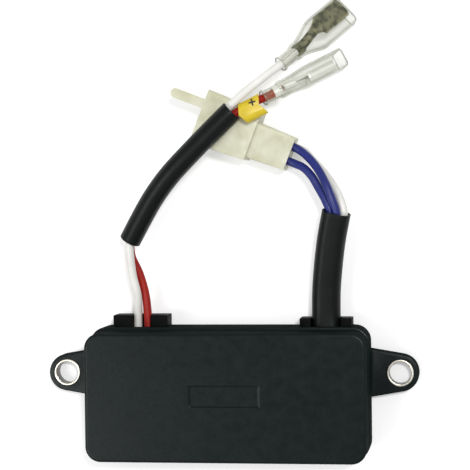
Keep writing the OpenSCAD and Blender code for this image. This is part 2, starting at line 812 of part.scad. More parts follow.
module spade_terminal() {
    wrap_od = lead_d + 2 * slip_gap + 2 * sheet_t;
    crimp_at = terminal_set + wrap_len;
    strap_at = crimp_at + crimp_len;
    box_at = strap_at + strap_len;
    difference() {
        translate([terminal_set, 0, 0]) along_x(wrap_od, wrap_len);
        translate([terminal_set - over, 0, 0]) along_x(lead_d + 2 * slip_gap, wrap_len + over);
    }
    for (side = [-1, 1]) translate([crimp_at, side * crimp_spread, 0]) along_x(2 * crimp_r, crimp_len);
    translate([crimp_at, -strap_w / 2, -spade_h / 2]) cube([crimp_len + eps, strap_w, spade_h / 2]);
    translate([strap_at, 0, -spade_h / 2]) linear_extrude(sheet_t) polygon([
        [0, -strap_w / 2], [strap_len + eps, -spade_w / 2 + spade_h / 2],
        [strap_len + eps, spade_w / 2 - spade_h / 2], [0, strap_w / 2]]);
    translate([box_at, 0, -spade_h / 2]) rotate([90, 0, 90]) linear_extrude(spade_len) rolled_box();
}

module minus_terminal() color("#85847a")
    on_boot_axis(minus_tail, minus_turn, minus_dip, minus_roll + flat_side_up) spade_terminal();

module plus_terminal() color("#c4c3bc")
    on_boot_axis(plus_tail, plus_turn, plus_dip, plus_roll) spade_terminal();

// Clear boots: a narrow neck, a small collar, a flare and a flat mouth
module boot_slice(x, w, t, r, len) {
    translate([x, 0, 0]) rotate([90, 0, 90]) linear_extrude(len) rounded_rect(w, t, r);
}

module disc_slice(x, d) {
    translate([x, 0, 0]) rotate([0, 90, 0]) cylinder(d = d, h = eps, $fn = hull_fn);
}

module boot_form(thin, start, end) {
    neck = boot_neck_d - 2 * thin;
    collar = boot_collar_d - 2 * thin;
    w = boot_w - 2 * thin;
    t = boot_t - 2 * thin;
    r = boot_r - thin;
    translate([start, 0, 0]) along_x(neck, boot_neck_len - start + eps);
    hull() {
        disc_slice(boot_neck_len, neck);
        disc_slice(boot_collar_at - boot_collar_len, collar);
        disc_slice(boot_collar_at, collar);
    }
    hull() {
        disc_slice(boot_collar_at, collar);
        boot_slice(boot_flare_end, w, t, r, eps, $fn = hull_fn);
    }
    boot_slice(boot_flare_end, w, t, r, end - boot_flare_end);
}

module boot() {
    difference() {
        boot_form(0, 0, boot_len);
        boot_form(boot_wall, -over, boot_len + over);
    }
}

module minus_boot() color("#dcdcd4", 0.5)
    on_boot_axis(minus_tail, minus_turn, minus_dip, minus_roll) boot();

module plus_boot() color("#dcdcd4", 0.5)
    on_boot_axis(plus_tail, plus_turn, plus_dip, plus_roll) boot();

// Plug: rear block with four cavities, an open shroud with a latch pocket, and a latch tongue
module in_plug_frame() {
    translate([plug_at[0], plug_at[1], plug_z]) rotate([0, 0, plug_turn]) children();
}

module plug_section(x, y, w, h, r, len) {
    translate([x, y, 0]) rotate([90, 0, 90]) linear_extrude(len) rounded_rect(w, h, r);
}

// A section that widens from its rear to its front, by a cut on both sides
module flared_section(x, y, rear_w, front_w, h, r, len) {
    intersection() {
        plug_section(x, y, front_w, h, r, len);
        linear_extrude(2 * h, center = true) polygon([
            [x, y - rear_w / 2], [x + len, y - front_w / 2],
            [x + len, y + front_w / 2], [x, y + rear_w / 2]]);
    }
}

module plug_cavity(y, z) {
    translate([-over, y, z]) along_x(cavity_d, contact_set + contact_len + slip_gap + over);
    translate([0, y, z]) along_x(pin_d + 2 * slip_gap, plug_len);
}

module latch_tongue() {
    z = shroud_h / 2 - shroud_wall;
    len = tongue_root + tongue_len - tongue_w / 2;
    translate([plug_len - tongue_root, tongue_y - tongue_w / 2, z]) cube([len, tongue_w, shroud_wall]);
    translate([plug_len + tongue_len - tongue_w / 2, tongue_y, z]) cylinder(d = tongue_w, h = shroud_wall);
    translate([plug_len + tongue_len - tongue_w / 2, tongue_y + tongue_w / 2, z + eps]) rotate([90, 0, 0])
        linear_extrude(tongue_w) polygon([[-barb_len, 0], [0, 0], [0, -barb_h]]);
}

module plug_housing() color("#d8d7c2") in_plug_frame() {
    shroud_y = -shroud_shift;
    shroud_root_w = shroud_w - shroud_flare;
    bay_w = block_w + 2 * bay_gap;
    difference() {
        union() {
            flared_section(0, 0, block_w, block_w + block_flare, block_w, block_r, block_len + eps);
            flared_section(block_len, shroud_y, shroud_root_w, shroud_w, shroud_h, shroud_r, shroud_len);
        }
        plug_section(block_len + plug_floor, 0, bay_w, shroud_h - 2 * shroud_wall, bay_r, shroud_len);
        translate([block_len + plug_floor, shroud_y - shroud_root_w / 2 + shroud_wall, -latch_slot_h / 2])
            cube([shroud_len, shroud_root_w / 2 - shroud_wall, latch_slot_h]);
        for (y = [-1, 1], z = [-1, 1]) plug_cavity(y * pitch / 2, z * pitch / 2);
    }
    latch_tongue();
}

module plug_contact(y, z) {
    in_plug_frame() translate([0, y, z]) difference() {
        union() {
            translate([contact_set, 0, 0]) along_x(barrel_d, contact_len);
            translate([contact_set, 0, 0]) along_x(pin_d, pin_end - contact_set);
        }
        along_x(lead_d + 2 * slip_gap, lead_in);
    }
}

module plug_contact_1() color("#c8b884") plug_contact(-pitch / 2, pitch / 2);

module plug_contact_2() color("#c8b884") plug_contact(pitch / 2, pitch / 2);

module plug_contact_3() color("#c8b884") plug_contact(-pitch / 2, -pitch / 2);

case_base();
case_cover();
left_bushing();
right_bushing();
field_grommet();
sense_grommet();
circuit_board();
heat_sink();
power_transistor();
bridge_rectifier();
filter_capacitor();
film_capacitor();
resistors();
zener_diodes();
signal_transistor();
potting_resin();
white_field_lead();
red_field_lead();
blue_upper_lead();
blue_lower_lead();
white_sense_lead();
round_sleeve();
flat_sleeve();
marker_ring();
minus_terminal();
plus_terminal();
minus_boot();
plus_boot();
plug_housing();
plug_contact_1();
plug_contact_2();
plug_contact_3();
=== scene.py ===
# %% [markdown]
# # The voltage regulator of a portable generator
# A potted plastic case with two fixing ears carries two groups of leads. The field leads leave it on
# the left in a round sleeve and end in spade receptacles under clear boots. The sense leads leave it on
# the right in a flattened sleeve and end in a nylon plug. The solids arrive at their real size and place.
# This lesson gives each of them its finish, and rebuilds the ones whose edges and curves need more care.

# %% Load the frame
import math

import bmesh
import bpy
from mathutils import Matrix, Vector


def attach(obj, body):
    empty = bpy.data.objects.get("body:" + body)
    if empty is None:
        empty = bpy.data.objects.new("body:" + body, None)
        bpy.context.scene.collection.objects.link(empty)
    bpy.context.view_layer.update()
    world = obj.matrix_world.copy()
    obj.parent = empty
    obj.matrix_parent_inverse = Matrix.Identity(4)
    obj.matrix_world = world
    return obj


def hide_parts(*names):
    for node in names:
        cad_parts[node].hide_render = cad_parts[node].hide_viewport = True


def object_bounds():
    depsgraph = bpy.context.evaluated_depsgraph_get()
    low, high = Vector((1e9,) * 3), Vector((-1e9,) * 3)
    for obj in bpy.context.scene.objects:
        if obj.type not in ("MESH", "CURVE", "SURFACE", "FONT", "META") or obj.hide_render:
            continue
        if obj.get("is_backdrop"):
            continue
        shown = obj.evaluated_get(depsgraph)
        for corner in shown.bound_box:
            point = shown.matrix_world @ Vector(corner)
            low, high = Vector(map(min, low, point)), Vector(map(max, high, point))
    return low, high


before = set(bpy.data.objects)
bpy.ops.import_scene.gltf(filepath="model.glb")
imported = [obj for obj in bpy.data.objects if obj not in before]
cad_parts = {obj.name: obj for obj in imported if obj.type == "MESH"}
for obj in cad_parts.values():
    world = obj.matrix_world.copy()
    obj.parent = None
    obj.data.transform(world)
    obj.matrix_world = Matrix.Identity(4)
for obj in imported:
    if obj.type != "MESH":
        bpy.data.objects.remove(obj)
cad_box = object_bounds()
scene = bpy.context.scene
MM = 0.001
print("solids:", len(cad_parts), "highest corner:", [round(c, 4) for c in cad_box[1]])

# %% [markdown]
# ## The camera
# The part was photographed from almost straight above, with a long lens and a little to its right, so the
# right ear is seen square on and the left wall of the left bushing shows. A camera that is placed by its
# position and a target, and then rolled, keeps those facts in a few plain numbers.

# %% Camera
CAMERA_AT = Vector((71.1, 53.2, 500.0)) * MM
CAMERA_TARGET = Vector((1.56, 40.15, 5.0)) * MM
CAMERA_ROLL = math.radians(-0.7)
FOCAL_PX = 1721.3
IMAGE_PX = 470
SENSOR_MM = 36.0


def place_camera():
    data = bpy.data.cameras.new("camera")
    data.sensor_width = SENSOR_MM
    data.lens = FOCAL_PX / IMAGE_PX * SENSOR_MM
    camera = bpy.data.objects.new("camera", data)
    back = (CAMERA_AT - CAMERA_TARGET).normalized()
    right = Vector((0, 1, 0)).cross(back).normalized()
    level = Matrix((right, back.cross(right), back)).transposed()
    rolled = level @ Matrix.Rotation(CAMERA_ROLL, 3, "Z")
    camera.matrix_world = Matrix.Translation(CAMERA_AT) @ rolled.to_4x4()
    scene.collection.objects.link(camera)
    scene.camera = camera
    return camera


camera = place_camera()
print("lens:", round(camera.data.lens, 1), "mm")

# %% [markdown]
# ## Routes
# A lead is a fixed length of something bendy, so its route comes before its surface. The two sleeves are
# laid first, by points chosen on the photograph. The leads inside a sleeve then follow it at a small
# offset, measured in a frame that is carried along the route. Outside the sleeves each lead has points of
# its own.

# %% Carried frames and smooth curves
def heading(points, i):
    return (points[min(i + 1, len(points) - 1)] - points[max(i - 1, 0)]).normalized()


def carried_frames(points):
    """Heading, sideways and upright direction at each point, with no sudden turn between them."""
    upright = Vector((0, 0, 1))
    for i in range(len(points)):
        ahead = heading(points, i)
        upright = (upright - upright.dot(ahead) * ahead).normalized()
        yield ahead, ahead.cross(upright), upright


def beside(points, step, turn_from, turn_to):
    """Points at a step from a route, turning round it from one angle to the other."""
    out = []
    for i, (point, (_, side, upright)) in enumerate(zip(points, carried_frames(points))):
        angle = math.radians(turn_from + (turn_to - turn_from) * i / (len(points) - 1))
        out.append(point + step * (math.sin(angle) * side + math.cos(angle) * upright))
    return out


def level_beside(points, right, up):
    """Points at a fixed step to the right of a route and above it."""
    return [point + right * side + up * upright
            for point, (_, side, upright) in zip(points, carried_frames(points))]


def smooth(points, per_span=7):
    """A curve through the points: each span is a cubic whose end slopes come from its neighbours."""
    spans = [(b - a).length for a, b in zip(points, points[1:])]
    slopes = [(points[1] - points[0]) / spans[0]]
    for i in range(1, len(points) - 1):
        before, after = spans[i - 1], spans[i]
        back = (points[i] - points[i - 1]) / before
        ahead = (points[i + 1] - points[i]) / after
        slopes.append((back * after + ahead * before) / (before + after))
    slopes.append((points[-1] - points[-2]) / spans[-1])
    curve = []
    for i, span in enumerate(spans):
        for k in range(per_span):
            t = k / per_span
            start, end = (1 + 2 * t) * (1 - t) ** 2, t * t * (3 - 2 * t)
            leave, reach = t * (1 - t) ** 2, t * t * (t - 1)
            curve.append(start * points[i] + end * points[i + 1]
                         + span * (leave * slopes[i] + reach * slopes[i + 1]))
    return curve + [points[-1]]


def length_of(points):
    return sum((b - a).length for a, b in zip(points, points[1:]))


def mm_points(*rows):
    return [Vector(row) * MM for row in rows]


# %% Where the leads leave, end and are gathered
LEAD_D = 2.4 * MM
EXIT_Z = 6.1
INSIDE_Y, OUTSIDE_Y = 3.4, 17.6
WHITE_FIELD_X, RED_FIELD_X, SENSE_X = -27.2, -24.3, 28.0
PAIR_STEP = 1.25 * MM
TRIO_STEP, TRIO_LOW, TRIO_HIGH = 2.1 * MM, -0.6 * MM, 0.75 * MM
LEAD_STOP = 8.6
# How far each terminal is pushed forward in its boot
MINUS_SHOVE, PLUS_SHOVE = 0.5, -2.3


def boot_frame(tail, turn, dip, roll):
    """The frame of a boot: its axis is X, and its tail is the origin."""
    turned = Matrix.Rotation(math.radians(turn), 4, "Z") @ Matrix.Rotation(math.radians(dip), 4, "Y")
    return Matrix.Translation(Vector(tail) * MM) @ turned @ Matrix.Rotation(math.radians(roll), 4, "X")


MINUS_FRAME = boot_frame((16.5, 88.5, 15.4), 42, 25, -4)
PLUS_FRAME = boot_frame((11.3, 79.1, 14.3), 27.5, 21, 90)
MARKER_FRAME = boot_frame((7.9, 77.4, 14.9), 27.5, 6, 0)
MARKER_LEN = 6.5 * MM
PLUG_FRAME = Matrix.Translation(Vector((18.3, 63.3, 6)) * MM) @ Matrix.Rotation(math.radians(158.5), 4, "Z")
HALF_PITCH, PLUG_STOP = 2.1, 3.5


def in_plug(x, y, z):
    return PLUG_FRAME @ (Vector((x, y, z)) * MM)


round_route = mm_points(
    (-28.6, 39, 9.2), (-25, 45, 11), (-20.8, 51.5, 12.8), (-15.8, 57.7, 14.4), (-10.6, 63, 15.3),
    (-4.8, 68.7, 15.5), (2.5, 75.7, 15.5))
flat_route = mm_points(
    (SENSE_X, 10.6, EXIT_Z), (SENSE_X, OUTSIDE_Y, EXIT_Z), (28.2, 24, 7), (28.9, 31, 8.5), (30, 38.6, 10.2),
    (31.7, 46.6, 12.2))
print("sleeves:", [round(length_of(r) / MM, 1) for r in (round_route, flat_route)], "mm")

# %% Routes of the five leads
white_field_route = (
    mm_points((WHITE_FIELD_X, INSIDE_Y, EXIT_Z), (WHITE_FIELD_X, OUTSIDE_Y, EXIT_Z), (-26.9, 22.4, 7.7),
              (-27.9, 28, 9), (-28.5, 33.6, 9.9))
    + beside(round_route, PAIR_STEP, 12, -85)
    + mm_points((5.6, 80.2, 16.6), (9.1, 82.9, 16.8), (12.9, 85.8, 16.4))
    + [MINUS_FRAME.translation, MINUS_FRAME @ Vector((LEAD_STOP * MM, 0, 0))])
red_field_route = (
    mm_points((RED_FIELD_X, INSIDE_Y, EXIT_Z), (RED_FIELD_X, OUTSIDE_Y, EXIT_Z), (-25, 23.6, 6.1),
              (-26.6, 29.4, 6.4), (-28.7, 34.6, 7.1))
    + beside(round_route, PAIR_STEP, 192, 95)
    + [MARKER_FRAME @ Vector((-MARKER_LEN / 2, 0, 0)), MARKER_FRAME @ Vector((MARKER_LEN / 2, 0, 0))]
    + [PLUS_FRAME.translation, PLUS_FRAME @ Vector(((LEAD_STOP + PLUS_SHOVE) * MM, 0, 0))])
blue_upper_route = (
    level_beside([Vector((SENSE_X, INSIDE_Y, EXIT_Z)) * MM] + flat_route, 0, TRIO_HIGH)
    + mm_points((30.3, 50.8, 13.2), (28.9, 54.4, 12.8), (26.9, 58.2, 11.4), (24.1, 61.8, 9.6))
    + [in_plug(-1.6, -HALF_PITCH, HALF_PITCH), in_plug(PLUG_STOP, -HALF_PITCH, HALF_PITCH)])
blue_lower_route = (
    level_beside([Vector((SENSE_X, INSIDE_Y, EXIT_Z)) * MM] + flat_route, -TRIO_STEP, TRIO_LOW)
    + mm_points((28.5, 50, 11.3), (26.5, 53.6, 10.5), (24.4, 57.1, 9.9), (21.9, 59.5, 9))
    + [in_plug(-2.2, HALF_PITCH, HALF_PITCH), in_plug(PLUG_STOP, HALF_PITCH, HALF_PITCH)])
white_sense_route = (
    level_beside([Vector((SENSE_X, INSIDE_Y, EXIT_Z)) * MM] + flat_route, TRIO_STEP, TRIO_LOW)
    + mm_points((32.6, 50.7, 11.1), (30.4, 54.7, 9.7), (27.6, 58.3, 7.8), (24.6, 61.4, 5.6))
    + [in_plug(-3, -HALF_PITCH, -HALF_PITCH), in_plug(PLUG_STOP, -HALF_PITCH, -HALF_PITCH)])
print("route points:", len(white_field_route), len(red_field_route), len(blue_upper_route),
      len(blue_lower_route), len(white_sense_route))

# %% [markdown]
# ## Node helpers
# Every finish and every swept tube below is a node tree. A few helpers keep those trees readable. One adds
# a node and fills its inputs with numbers or links, one opens a new material, and one turns a colour as it
# is seen in a picture into the linear numbers that a shader works with. The rest are small steps that most
# finishes share: noise, a mix of two tones, a range and a bump.

# %% Helpers for nodes and colours
def fill(tree, node, inputs):
    """Gives each named input of a node a link or a plain value."""
    for key, value in inputs.items():
        if isinstance(value, bpy.types.NodeSocket):
            tree.links.new(value, node.inputs[key])
        else:
            node.inputs[key].default_value = value


def add_node(tree, kind, inputs=None, **settings):
    made = tree.nodes.new(kind)
    for key, value in settings.items():
        setattr(made, key, value)
    fill(tree, made, inputs or {})
    return made


def seen(red, green, blue):
    """A colour as a picture shows it, from 0 to 255, in linear light."""
    steps = [c / 255 for c in (red, green, blue)]
    return tuple(c / 12.92 if c <= 0.04045 else ((c + 0.055) / 1.055) ** 2.4 for c in steps) + (1.0,)


FINISH = " finish"


def new_material(name):
    material = bpy.data.materials.new(name + FINISH)
    material.use_nodes = True
    tree = material.node_tree
    place = add_node(tree, "ShaderNodeTexCoord").outputs["Object"]
    return material, tree, tree.nodes["Principled BSDF"], place


# %% Helpers for noise, tones and bumps
# Most of a noise lies between these two levels
NOISE_LOW, NOISE_HIGH = 0.3, 0.7


def ranged(tree, factor, low, high, start=0.0, end=1.0):
    """A number that runs from low to high while a factor runs from start to end."""
    span = {"Value": factor, "From Min": start, "From Max": end, "To Min": low, "To Max": high}
    return add_node(tree, "ShaderNodeMapRange", span).outputs["Result"]


def grain(tree, place, size, low=0.0, high=1.0, detail=2.0):
    """Noise with features of a size in metres, spread from low to high."""
    noise = add_node(tree, "ShaderNodeTexNoise", {"Vector": place, "Scale": 1 / size, "Detail": detail})
    return ranged(tree, noise.outputs["Fac"], low, high, NOISE_LOW, NOISE_HIGH)


def two_tone(tree, factor, first, second):
    """A colour that runs from the first to the second."""
    ramp = add_node(tree, "ShaderNodeValToRGB", {"Fac": factor})
    ramp.color_ramp.elements[0].color = first
    ramp.color_ramp.elements[1].color = second
    return ramp.outputs["Color"]


def upward(tree):
    """How far a face looks up: 1 on a flat top and 0 on a wall."""
    normal = add_node(tree, "ShaderNodeTexCoord").outputs["Normal"]
    return add_node(tree, "ShaderNodeSeparateXYZ", {0: normal}).outputs["Z"]


def bumped(tree, height, depth):
    return add_node(tree, "ShaderNodeBump", {"Height": height, "Distance": depth}).outputs["Normal"]


# %% [markdown]
# ## Finishes
# The case is moulded with a fine spark-eroded grain, which scatters light enough to look satin. Its
# upright walls are duller than its top, so they stay dark beside a white ground. The leads, sleeves and
# grommets are soft plastics and rubber that differ mostly in gloss. A shared recipe covers them: two
# close tones broken up by noise, a roughness that wanders a little, and a fine bump.

# %% A recipe for plastics
ROUGH_WANDER = 0.05
WALL_ROUGH, WALL_GLOSS = 0.9, 0.02


def plastic(name, dark, light, patch, rough, grain_size, grain_depth, specular=0.5, dull_walls=False):
    material, tree, shader, place = new_material(name)
    patches = grain(tree, place, patch, detail=4.0)
    fine = grain(tree, place, grain_size)
    roughness = grain(tree, place, patch / 3, rough - ROUGH_WANDER, rough + ROUGH_WANDER)
    if dull_walls:
        top = upward(tree)
        roughness = ranged(tree, top, WALL_ROUGH, roughness)
        specular = ranged(tree, top, WALL_GLOSS, specular)
    fill(tree, shader, {
        "Base Color": two_tone(tree, patches, dark, light),
        "Roughness": roughness,
        "Normal": bumped(tree, fine, grain_depth),
        "Specular IOR Level": specular,
    })
    return material


# %% Plastics and rubber
case_plastic = plastic(
    "case_plastic", seen(12, 21, 21), seen(16, 26, 25), 9 * MM, 0.28, 0.3 * MM, 0.01 * MM, 0.16,
    dull_walls=True)
black_rubber = plastic(
    "black_rubber", seen(5, 6, 6), seen(9, 10, 10), 3 * MM, 0.6, 0.25 * MM, 0.01 * MM, 0.08)
black_sleeve = plastic(
    "black_sleeve", seen(8, 13, 12), seen(12, 18, 16), 4 * MM, 0.42, 0.4 * MM, 0.008 * MM, 0.2)
white_insulation = plastic(
    "white_insulation", seen(228, 227, 221), seen(241, 240, 235), 5 * MM, 0.42, 0.5 * MM, 0.006 * MM)
red_insulation = plastic(
    "red_insulation", seen(148, 20, 11), seen(168, 32, 19), 5 * MM, 0.42, 0.5 * MM, 0.006 * MM, 0.25)
blue_insulation = plastic(
    "blue_insulation", seen(25, 35, 108), seen(34, 45, 121), 5 * MM, 0.42, 0.5 * MM, 0.006 * MM, 0.4)
marker_yellow = plastic(
    "marker_yellow", seen(206, 180, 24), seen(224, 199, 48), 2.5 * MM, 0.38, 0.4 * MM, 0.008 * MM)
sign_black = plastic("sign_black", seen(18, 16, 14), seen(26, 24, 20), 1 * MM, 0.6, 0.1 * MM, 0.002 * MM)
print("plastics:", case_plastic.name, black_rubber.name, black_sleeve.name, marker_yellow.name)

# %% [markdown]
# Nylon without pigment is milky: light enters it, scatters and leaves again close by, so thick walls look
# olive and thin ones almost white. Subsurface scattering gives that with one shader. Clear vinyl shows what
# is inside it and turns milky only where it is seen edge on, which a facing weight on its alpha gives. Its
# open ends are painted darker, a painted shade where the wall is seen edge on, so the boots carry a
# number called rim that is high there. In a shadow the alpha drops, because such a thin skin lets most
# light through.

# %% Nylon and clear vinyl
def natural_nylon():
    material, tree, shader, place = new_material("natural_nylon")
    cloud = grain(tree, place, 6 * MM, detail=3.0)
    fill(tree, shader, {
        "Base Color": two_tone(tree, cloud, seen(195, 194, 165), seen(223, 223, 203)),
        "Subsurface Weight": 0.5,
        "Subsurface Radius": (1.0, 0.95, 0.7),
        "Subsurface Scale": 2.5 * MM,
        "Roughness": grain(tree, place, 2 * MM, 0.36, 0.5),
        "Normal": bumped(tree, grain(tree, place, 0.6 * MM), 0.008 * MM),
    })
    return material


VINYL_FACING = 0.2
VINYL_CLEAR, VINYL_MILKY = 0.08, 0.95
VINYL_SHADOW = 0.2


def clear_vinyl():
    material, tree, shader, place = new_material("clear_vinyl")
    edge = add_node(tree, "ShaderNodeLayerWeight", {"Blend": VINYL_FACING}).outputs["Facing"]
    skin_alpha = ranged(tree, edge, VINYL_CLEAR, VINYL_MILKY)
    shadow = add_node(tree, "ShaderNodeLightPath").outputs["Is Shadow Ray"]
    kept = ranged(tree, shadow, 1.0, VINYL_SHADOW)
    # The rim number is painted shade: it darkens the colour and raises the alpha at the boots' open ends
    rim = add_node(tree, "ShaderNodeAttribute", attribute_name="rim").outputs["Fac"]
    body = add_node(tree, "ShaderNodeMath", {0: skin_alpha, 1: rim}, operation="MAXIMUM").outputs[0]
    alpha = add_node(tree, "ShaderNodeMath", {0: body, 1: kept}, operation="MULTIPLY").outputs[0]
    skin = two_tone(tree, grain(tree, place, 3 * MM), seen(160, 164, 134), seen(180, 183, 156))
    rim_shaded_skin = add_node(
        tree, "ShaderNodeMix", {"Factor": rim, 6: skin, 7: seen(62, 64, 54)}, data_type="RGBA").outputs[2]
    fill(tree, shader, {
        "Base Color": rim_shaded_skin,
        "Roughness": 0.12,
        "Alpha": alpha,
        "Normal": bumped(tree, grain(tree, place, 2.5 * MM), 0.03 * MM),
    })
    return material


nylon = natural_nylon()
vinyl = clear_vinyl()
print("milky and clear:", nylon.name, vinyl.name)

# %% [markdown]
# The metals are plated sheet and tube. Tin plating on a stamped terminal is cloudy and blotched, so noise
# drives both its tone and its gloss, and the darker of the two terminals gets more contrast. The brighter
# terminal is near white and only partly metal, which is a painted highlight. On the zinc bushings the tone
# comes from how far a face looks up: the rims are light and the walls down the bore are painted shade.

# %% Metals
PIT_SIZE = 0.15 * MM


def plated(name, dark, light, blotch, rough_low, rough_high, metal=1.0, pitted=0.003, contrast=0.0,
           painted_wall_shade=False):
    material, tree, shader, place = new_material(name)
    # Walls may take the dark tone by how far they look up: painted shade down a bore
    tone = upward(tree) if painted_wall_shade else grain(tree, place, blotch, -contrast, 1 + contrast, detail=5.0)
    fill(tree, shader, {
        "Base Color": two_tone(tree, tone, dark, light),
        "Metallic": metal,
        "Roughness": grain(tree, place, blotch / 2, rough_low, rough_high),
        "Normal": bumped(tree, grain(tree, place, PIT_SIZE), pitted * MM),
    })
    return material


# Painted shade: the bushings' walls and bore take the dark tone, their rims the light one
zinc_steel = plated(
    "zinc_steel", seen(58, 56, 48), seen(222, 219, 206), 1.5 * MM, 0.24, 0.38, painted_wall_shade=True)
dark_tin = plated("dark_tin", seen(22, 20, 10), seen(142, 138, 110), 1.6 * MM, 0.3, 0.5, contrast=0.7)
# Near white and only partly metal: a painted highlight on the plus terminal's tin
bright_tin = plated(
    "bright_tin", seen(244, 244, 238), seen(253, 253, 249), 1.3 * MM, 0.4, 0.46, metal=0.35, pitted=0.0002)
contact_brass = plated("contact_brass", seen(176, 158, 110), seen(204, 190, 142), 1.0 * MM, 0.25, 0.4)
bare_aluminium = plated("bare_aluminium", seen(178, 180, 182), seen(200, 202, 204), 2.0 * MM, 0.3, 0.45)
print("metals:", zinc_steel.name, dark_tin.name, bright_tin.name, contact_brass.name)

# %% [markdown]
# The board and its components are sealed in the case, and still get finishes of their own, because the
# case may be opened by whoever uses the model.

# %% Finishes inside the case
INNER_FINISHES = {
    "circuit_board": plastic(
        "board_laminate", seen(46, 92, 52), seen(58, 108, 62), 2 * MM, 0.4, 0.3 * MM, 0.01 * MM),
    "heat_sink": bare_aluminium,
    "power_transistor": plastic(
        "black_epoxy", seen(24, 24, 26), seen(32, 32, 34), 2 * MM, 0.55, 0.2 * MM, 0.01 * MM),
    "filter_capacitor": plastic(
        "can_sleeve", seen(34, 44, 78), seen(44, 54, 92), 4 * MM, 0.3, 0.5 * MM, 0.004 * MM),
    "film_capacitor": plastic(
        "film_case", seen(126, 44, 36), seen(146, 56, 46), 3 * MM, 0.35, 0.6 * MM, 0.02 * MM),
    "resistors": plastic(
        "resistor_coat", seen(186, 164, 122), seen(200, 180, 140), 2 * MM, 0.45, 0.4 * MM, 0.01 * MM),
    "zener_diodes": plastic(
        "diode_glass", seen(150, 70, 40), seen(170, 86, 50), 1 * MM, 0.15, 0.5 * MM, 0.002 * MM),
    "potting_resin": plastic(
        "potting", seen(44, 44, 40), seen(54, 54, 48), 5 * MM, 0.4, 1.0 * MM, 0.02 * MM),
}
INNER_FINISHES["bridge_rectifier"] = INNER_FINISHES["power_transistor"]
INNER_FINISHES["signal_transistor"] = INNER_FINISHES["power_transistor"]


def dress(piece, material):
    piece.data.materials.clear()
    piece.data.materials.append(material)


for node_name, inner_finish in INNER_FINISHES.items():
    dress(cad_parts[node_name], inner_finish)
print("inner pieces:", len(INNER_FINISHES))

# %% [markdown]
# ## A tube along a route
# Leads and sleeves are the same idea: a section that is carried along a route. Curve to Mesh does exactly
# that. A rectangle whose corners are rounded by half of its shorter side covers both the round lead and
# the flattened sleeve, because equal sides give a circle. Each tube becomes a plain mesh, and a sleeve
# then gets its wall from Solidify.

# %% The tube tree
# A full half would leave sides of no length on a circle
ALMOST_HALF = 0.4999


def tube_tree():
    tree = bpy.data.node_groups.new("tube along a route", "GeometryNodeTree")
    tree.interface.new_socket("Geometry", in_out="INPUT", socket_type="NodeSocketGeometry")
    for name in ("Width", "Height"):
        tree.interface.new_socket(name, in_out="INPUT", socket_type="NodeSocketFloat")
    tree.interface.new_socket("Corner Steps", in_out="INPUT", socket_type="NodeSocketInt")
    tree.interface.new_socket("Closed Ends", in_out="INPUT", socket_type="NodeSocketBool")
    tree.interface.new_socket("Finish", in_out="INPUT", socket_type="NodeSocketMaterial")
    tree.interface.new_socket("Geometry", in_out="OUTPUT", socket_type="NodeSocketGeometry")
    given = add_node(tree, "NodeGroupInput").outputs
    line = add_node(tree, "GeometryNodeMeshToCurve", {"Mesh": given["Geometry"]})
    level = add_node(tree, "GeometryNodeSetCurveNormal", {"Curve": line.outputs["Curve"]}, mode="Z_UP")
    outline = add_node(tree, "GeometryNodeCurvePrimitiveQuadrilateral",
                       {"Width": given["Width"], "Height": given["Height"]})
    narrow = add_node(tree, "ShaderNodeMath", {0: given["Width"], 1: given["Height"]}, operation="MINIMUM")
    half = add_node(tree, "ShaderNodeMath", {0: narrow.outputs[0], 1: ALMOST_HALF}, operation="MULTIPLY")
    section = add_node(tree, "GeometryNodeFilletCurve", {
        "Curve": outline.outputs["Curve"], "Count": given["Corner Steps"],
        "Radius": half.outputs[0]}, mode="POLY")
    swept = add_node(tree, "GeometryNodeCurveToMesh", {
        "Curve": level.outputs["Curve"], "Profile Curve": section.outputs["Curve"],
        "Fill Caps": given["Closed Ends"]})
    soft = add_node(tree, "GeometryNodeSetShadeSmooth", {"Geometry": swept.outputs["Mesh"]})
    real = add_node(tree, "GeometryNodeRealizeInstances", {"Geometry": soft.outputs["Geometry"]})
    dressed = add_node(tree, "GeometryNodeSetMaterial", {
        "Geometry": real.outputs["Geometry"], "Material": given["Finish"]})
    add_node(tree, "NodeGroupOutput", {"Geometry": dressed.outputs["Geometry"]})
    return tree


def new_piece(name, mesh):
    piece = bpy.data.objects.new(name, mesh)
    scene.collection.objects.link(piece)
    return piece


def grown(name, mesh, tree, **inputs):
    """Runs a tree on a mesh and keeps the result as a plain mesh."""
    piece = new_piece(name, mesh)
    modifier = piece.modifiers.new("nodes", "NODES")
    modifier.node_group = tree
    sockets = {s.name: s.identifier for s in tree.interface.items_tree if s.in_out == "INPUT"}
    for key, value in inputs.items():
        modifier[sockets[key.replace("_", " ")]] = value
    graph = bpy.context.evaluated_depsgraph_get()
    made = bpy.data.meshes.new_from_object(piece.evaluated_get(graph))
    piece.modifiers.clear()
    piece.data = made
    return piece


TUBE = tube_tree()


def tube(name, points, width, height, steps, closed, material):
    line = bpy.data.meshes.new(name)
    line.from_pydata(points, [(i, i + 1) for i in range(len(points) - 1)], [])
    return grown(name, line, TUBE, Width=width, Height=height, Corner_Steps=steps, Closed_Ends=closed,
                 Finish=material)


# %% The five leads
LEAD_STEPS = 6


def lead(node, route, material):
    path = smooth(route)
    piece = tube(node + "_cord", path, LEAD_D, LEAD_D, LEAD_STEPS, True, material)
    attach(piece, "root")
    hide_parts(node)
    print(piece.name, round(length_of(path) / MM, 1), "mm", len(piece.data.polygons), "faces")
    return piece, path


white_field, white_field_path = lead("white_field_lead", white_field_route, white_insulation)
red_field, red_field_path = lead("red_field_lead", red_field_route, red_insulation)
blue_upper, blue_upper_path = lead("blue_upper_lead", blue_upper_route, blue_insulation)
blue_lower, blue_lower_path = lead("blue_lower_lead", blue_lower_route, blue_insulation)
white_sense, white_sense_path = lead("white_sense_lead", white_sense_route, white_insulation)

# %% The two sleeves
SLEEVE_WALL, SLEEVE_STEPS = 0.4 * MM, 9
ROUND_SLEEVE_D = 6.3 * MM
FLAT_SLEEVE_W, FLAT_SLEEVE_H = 8.3 * MM, 5.5 * MM
RIM_SOFT = 0.12 * MM


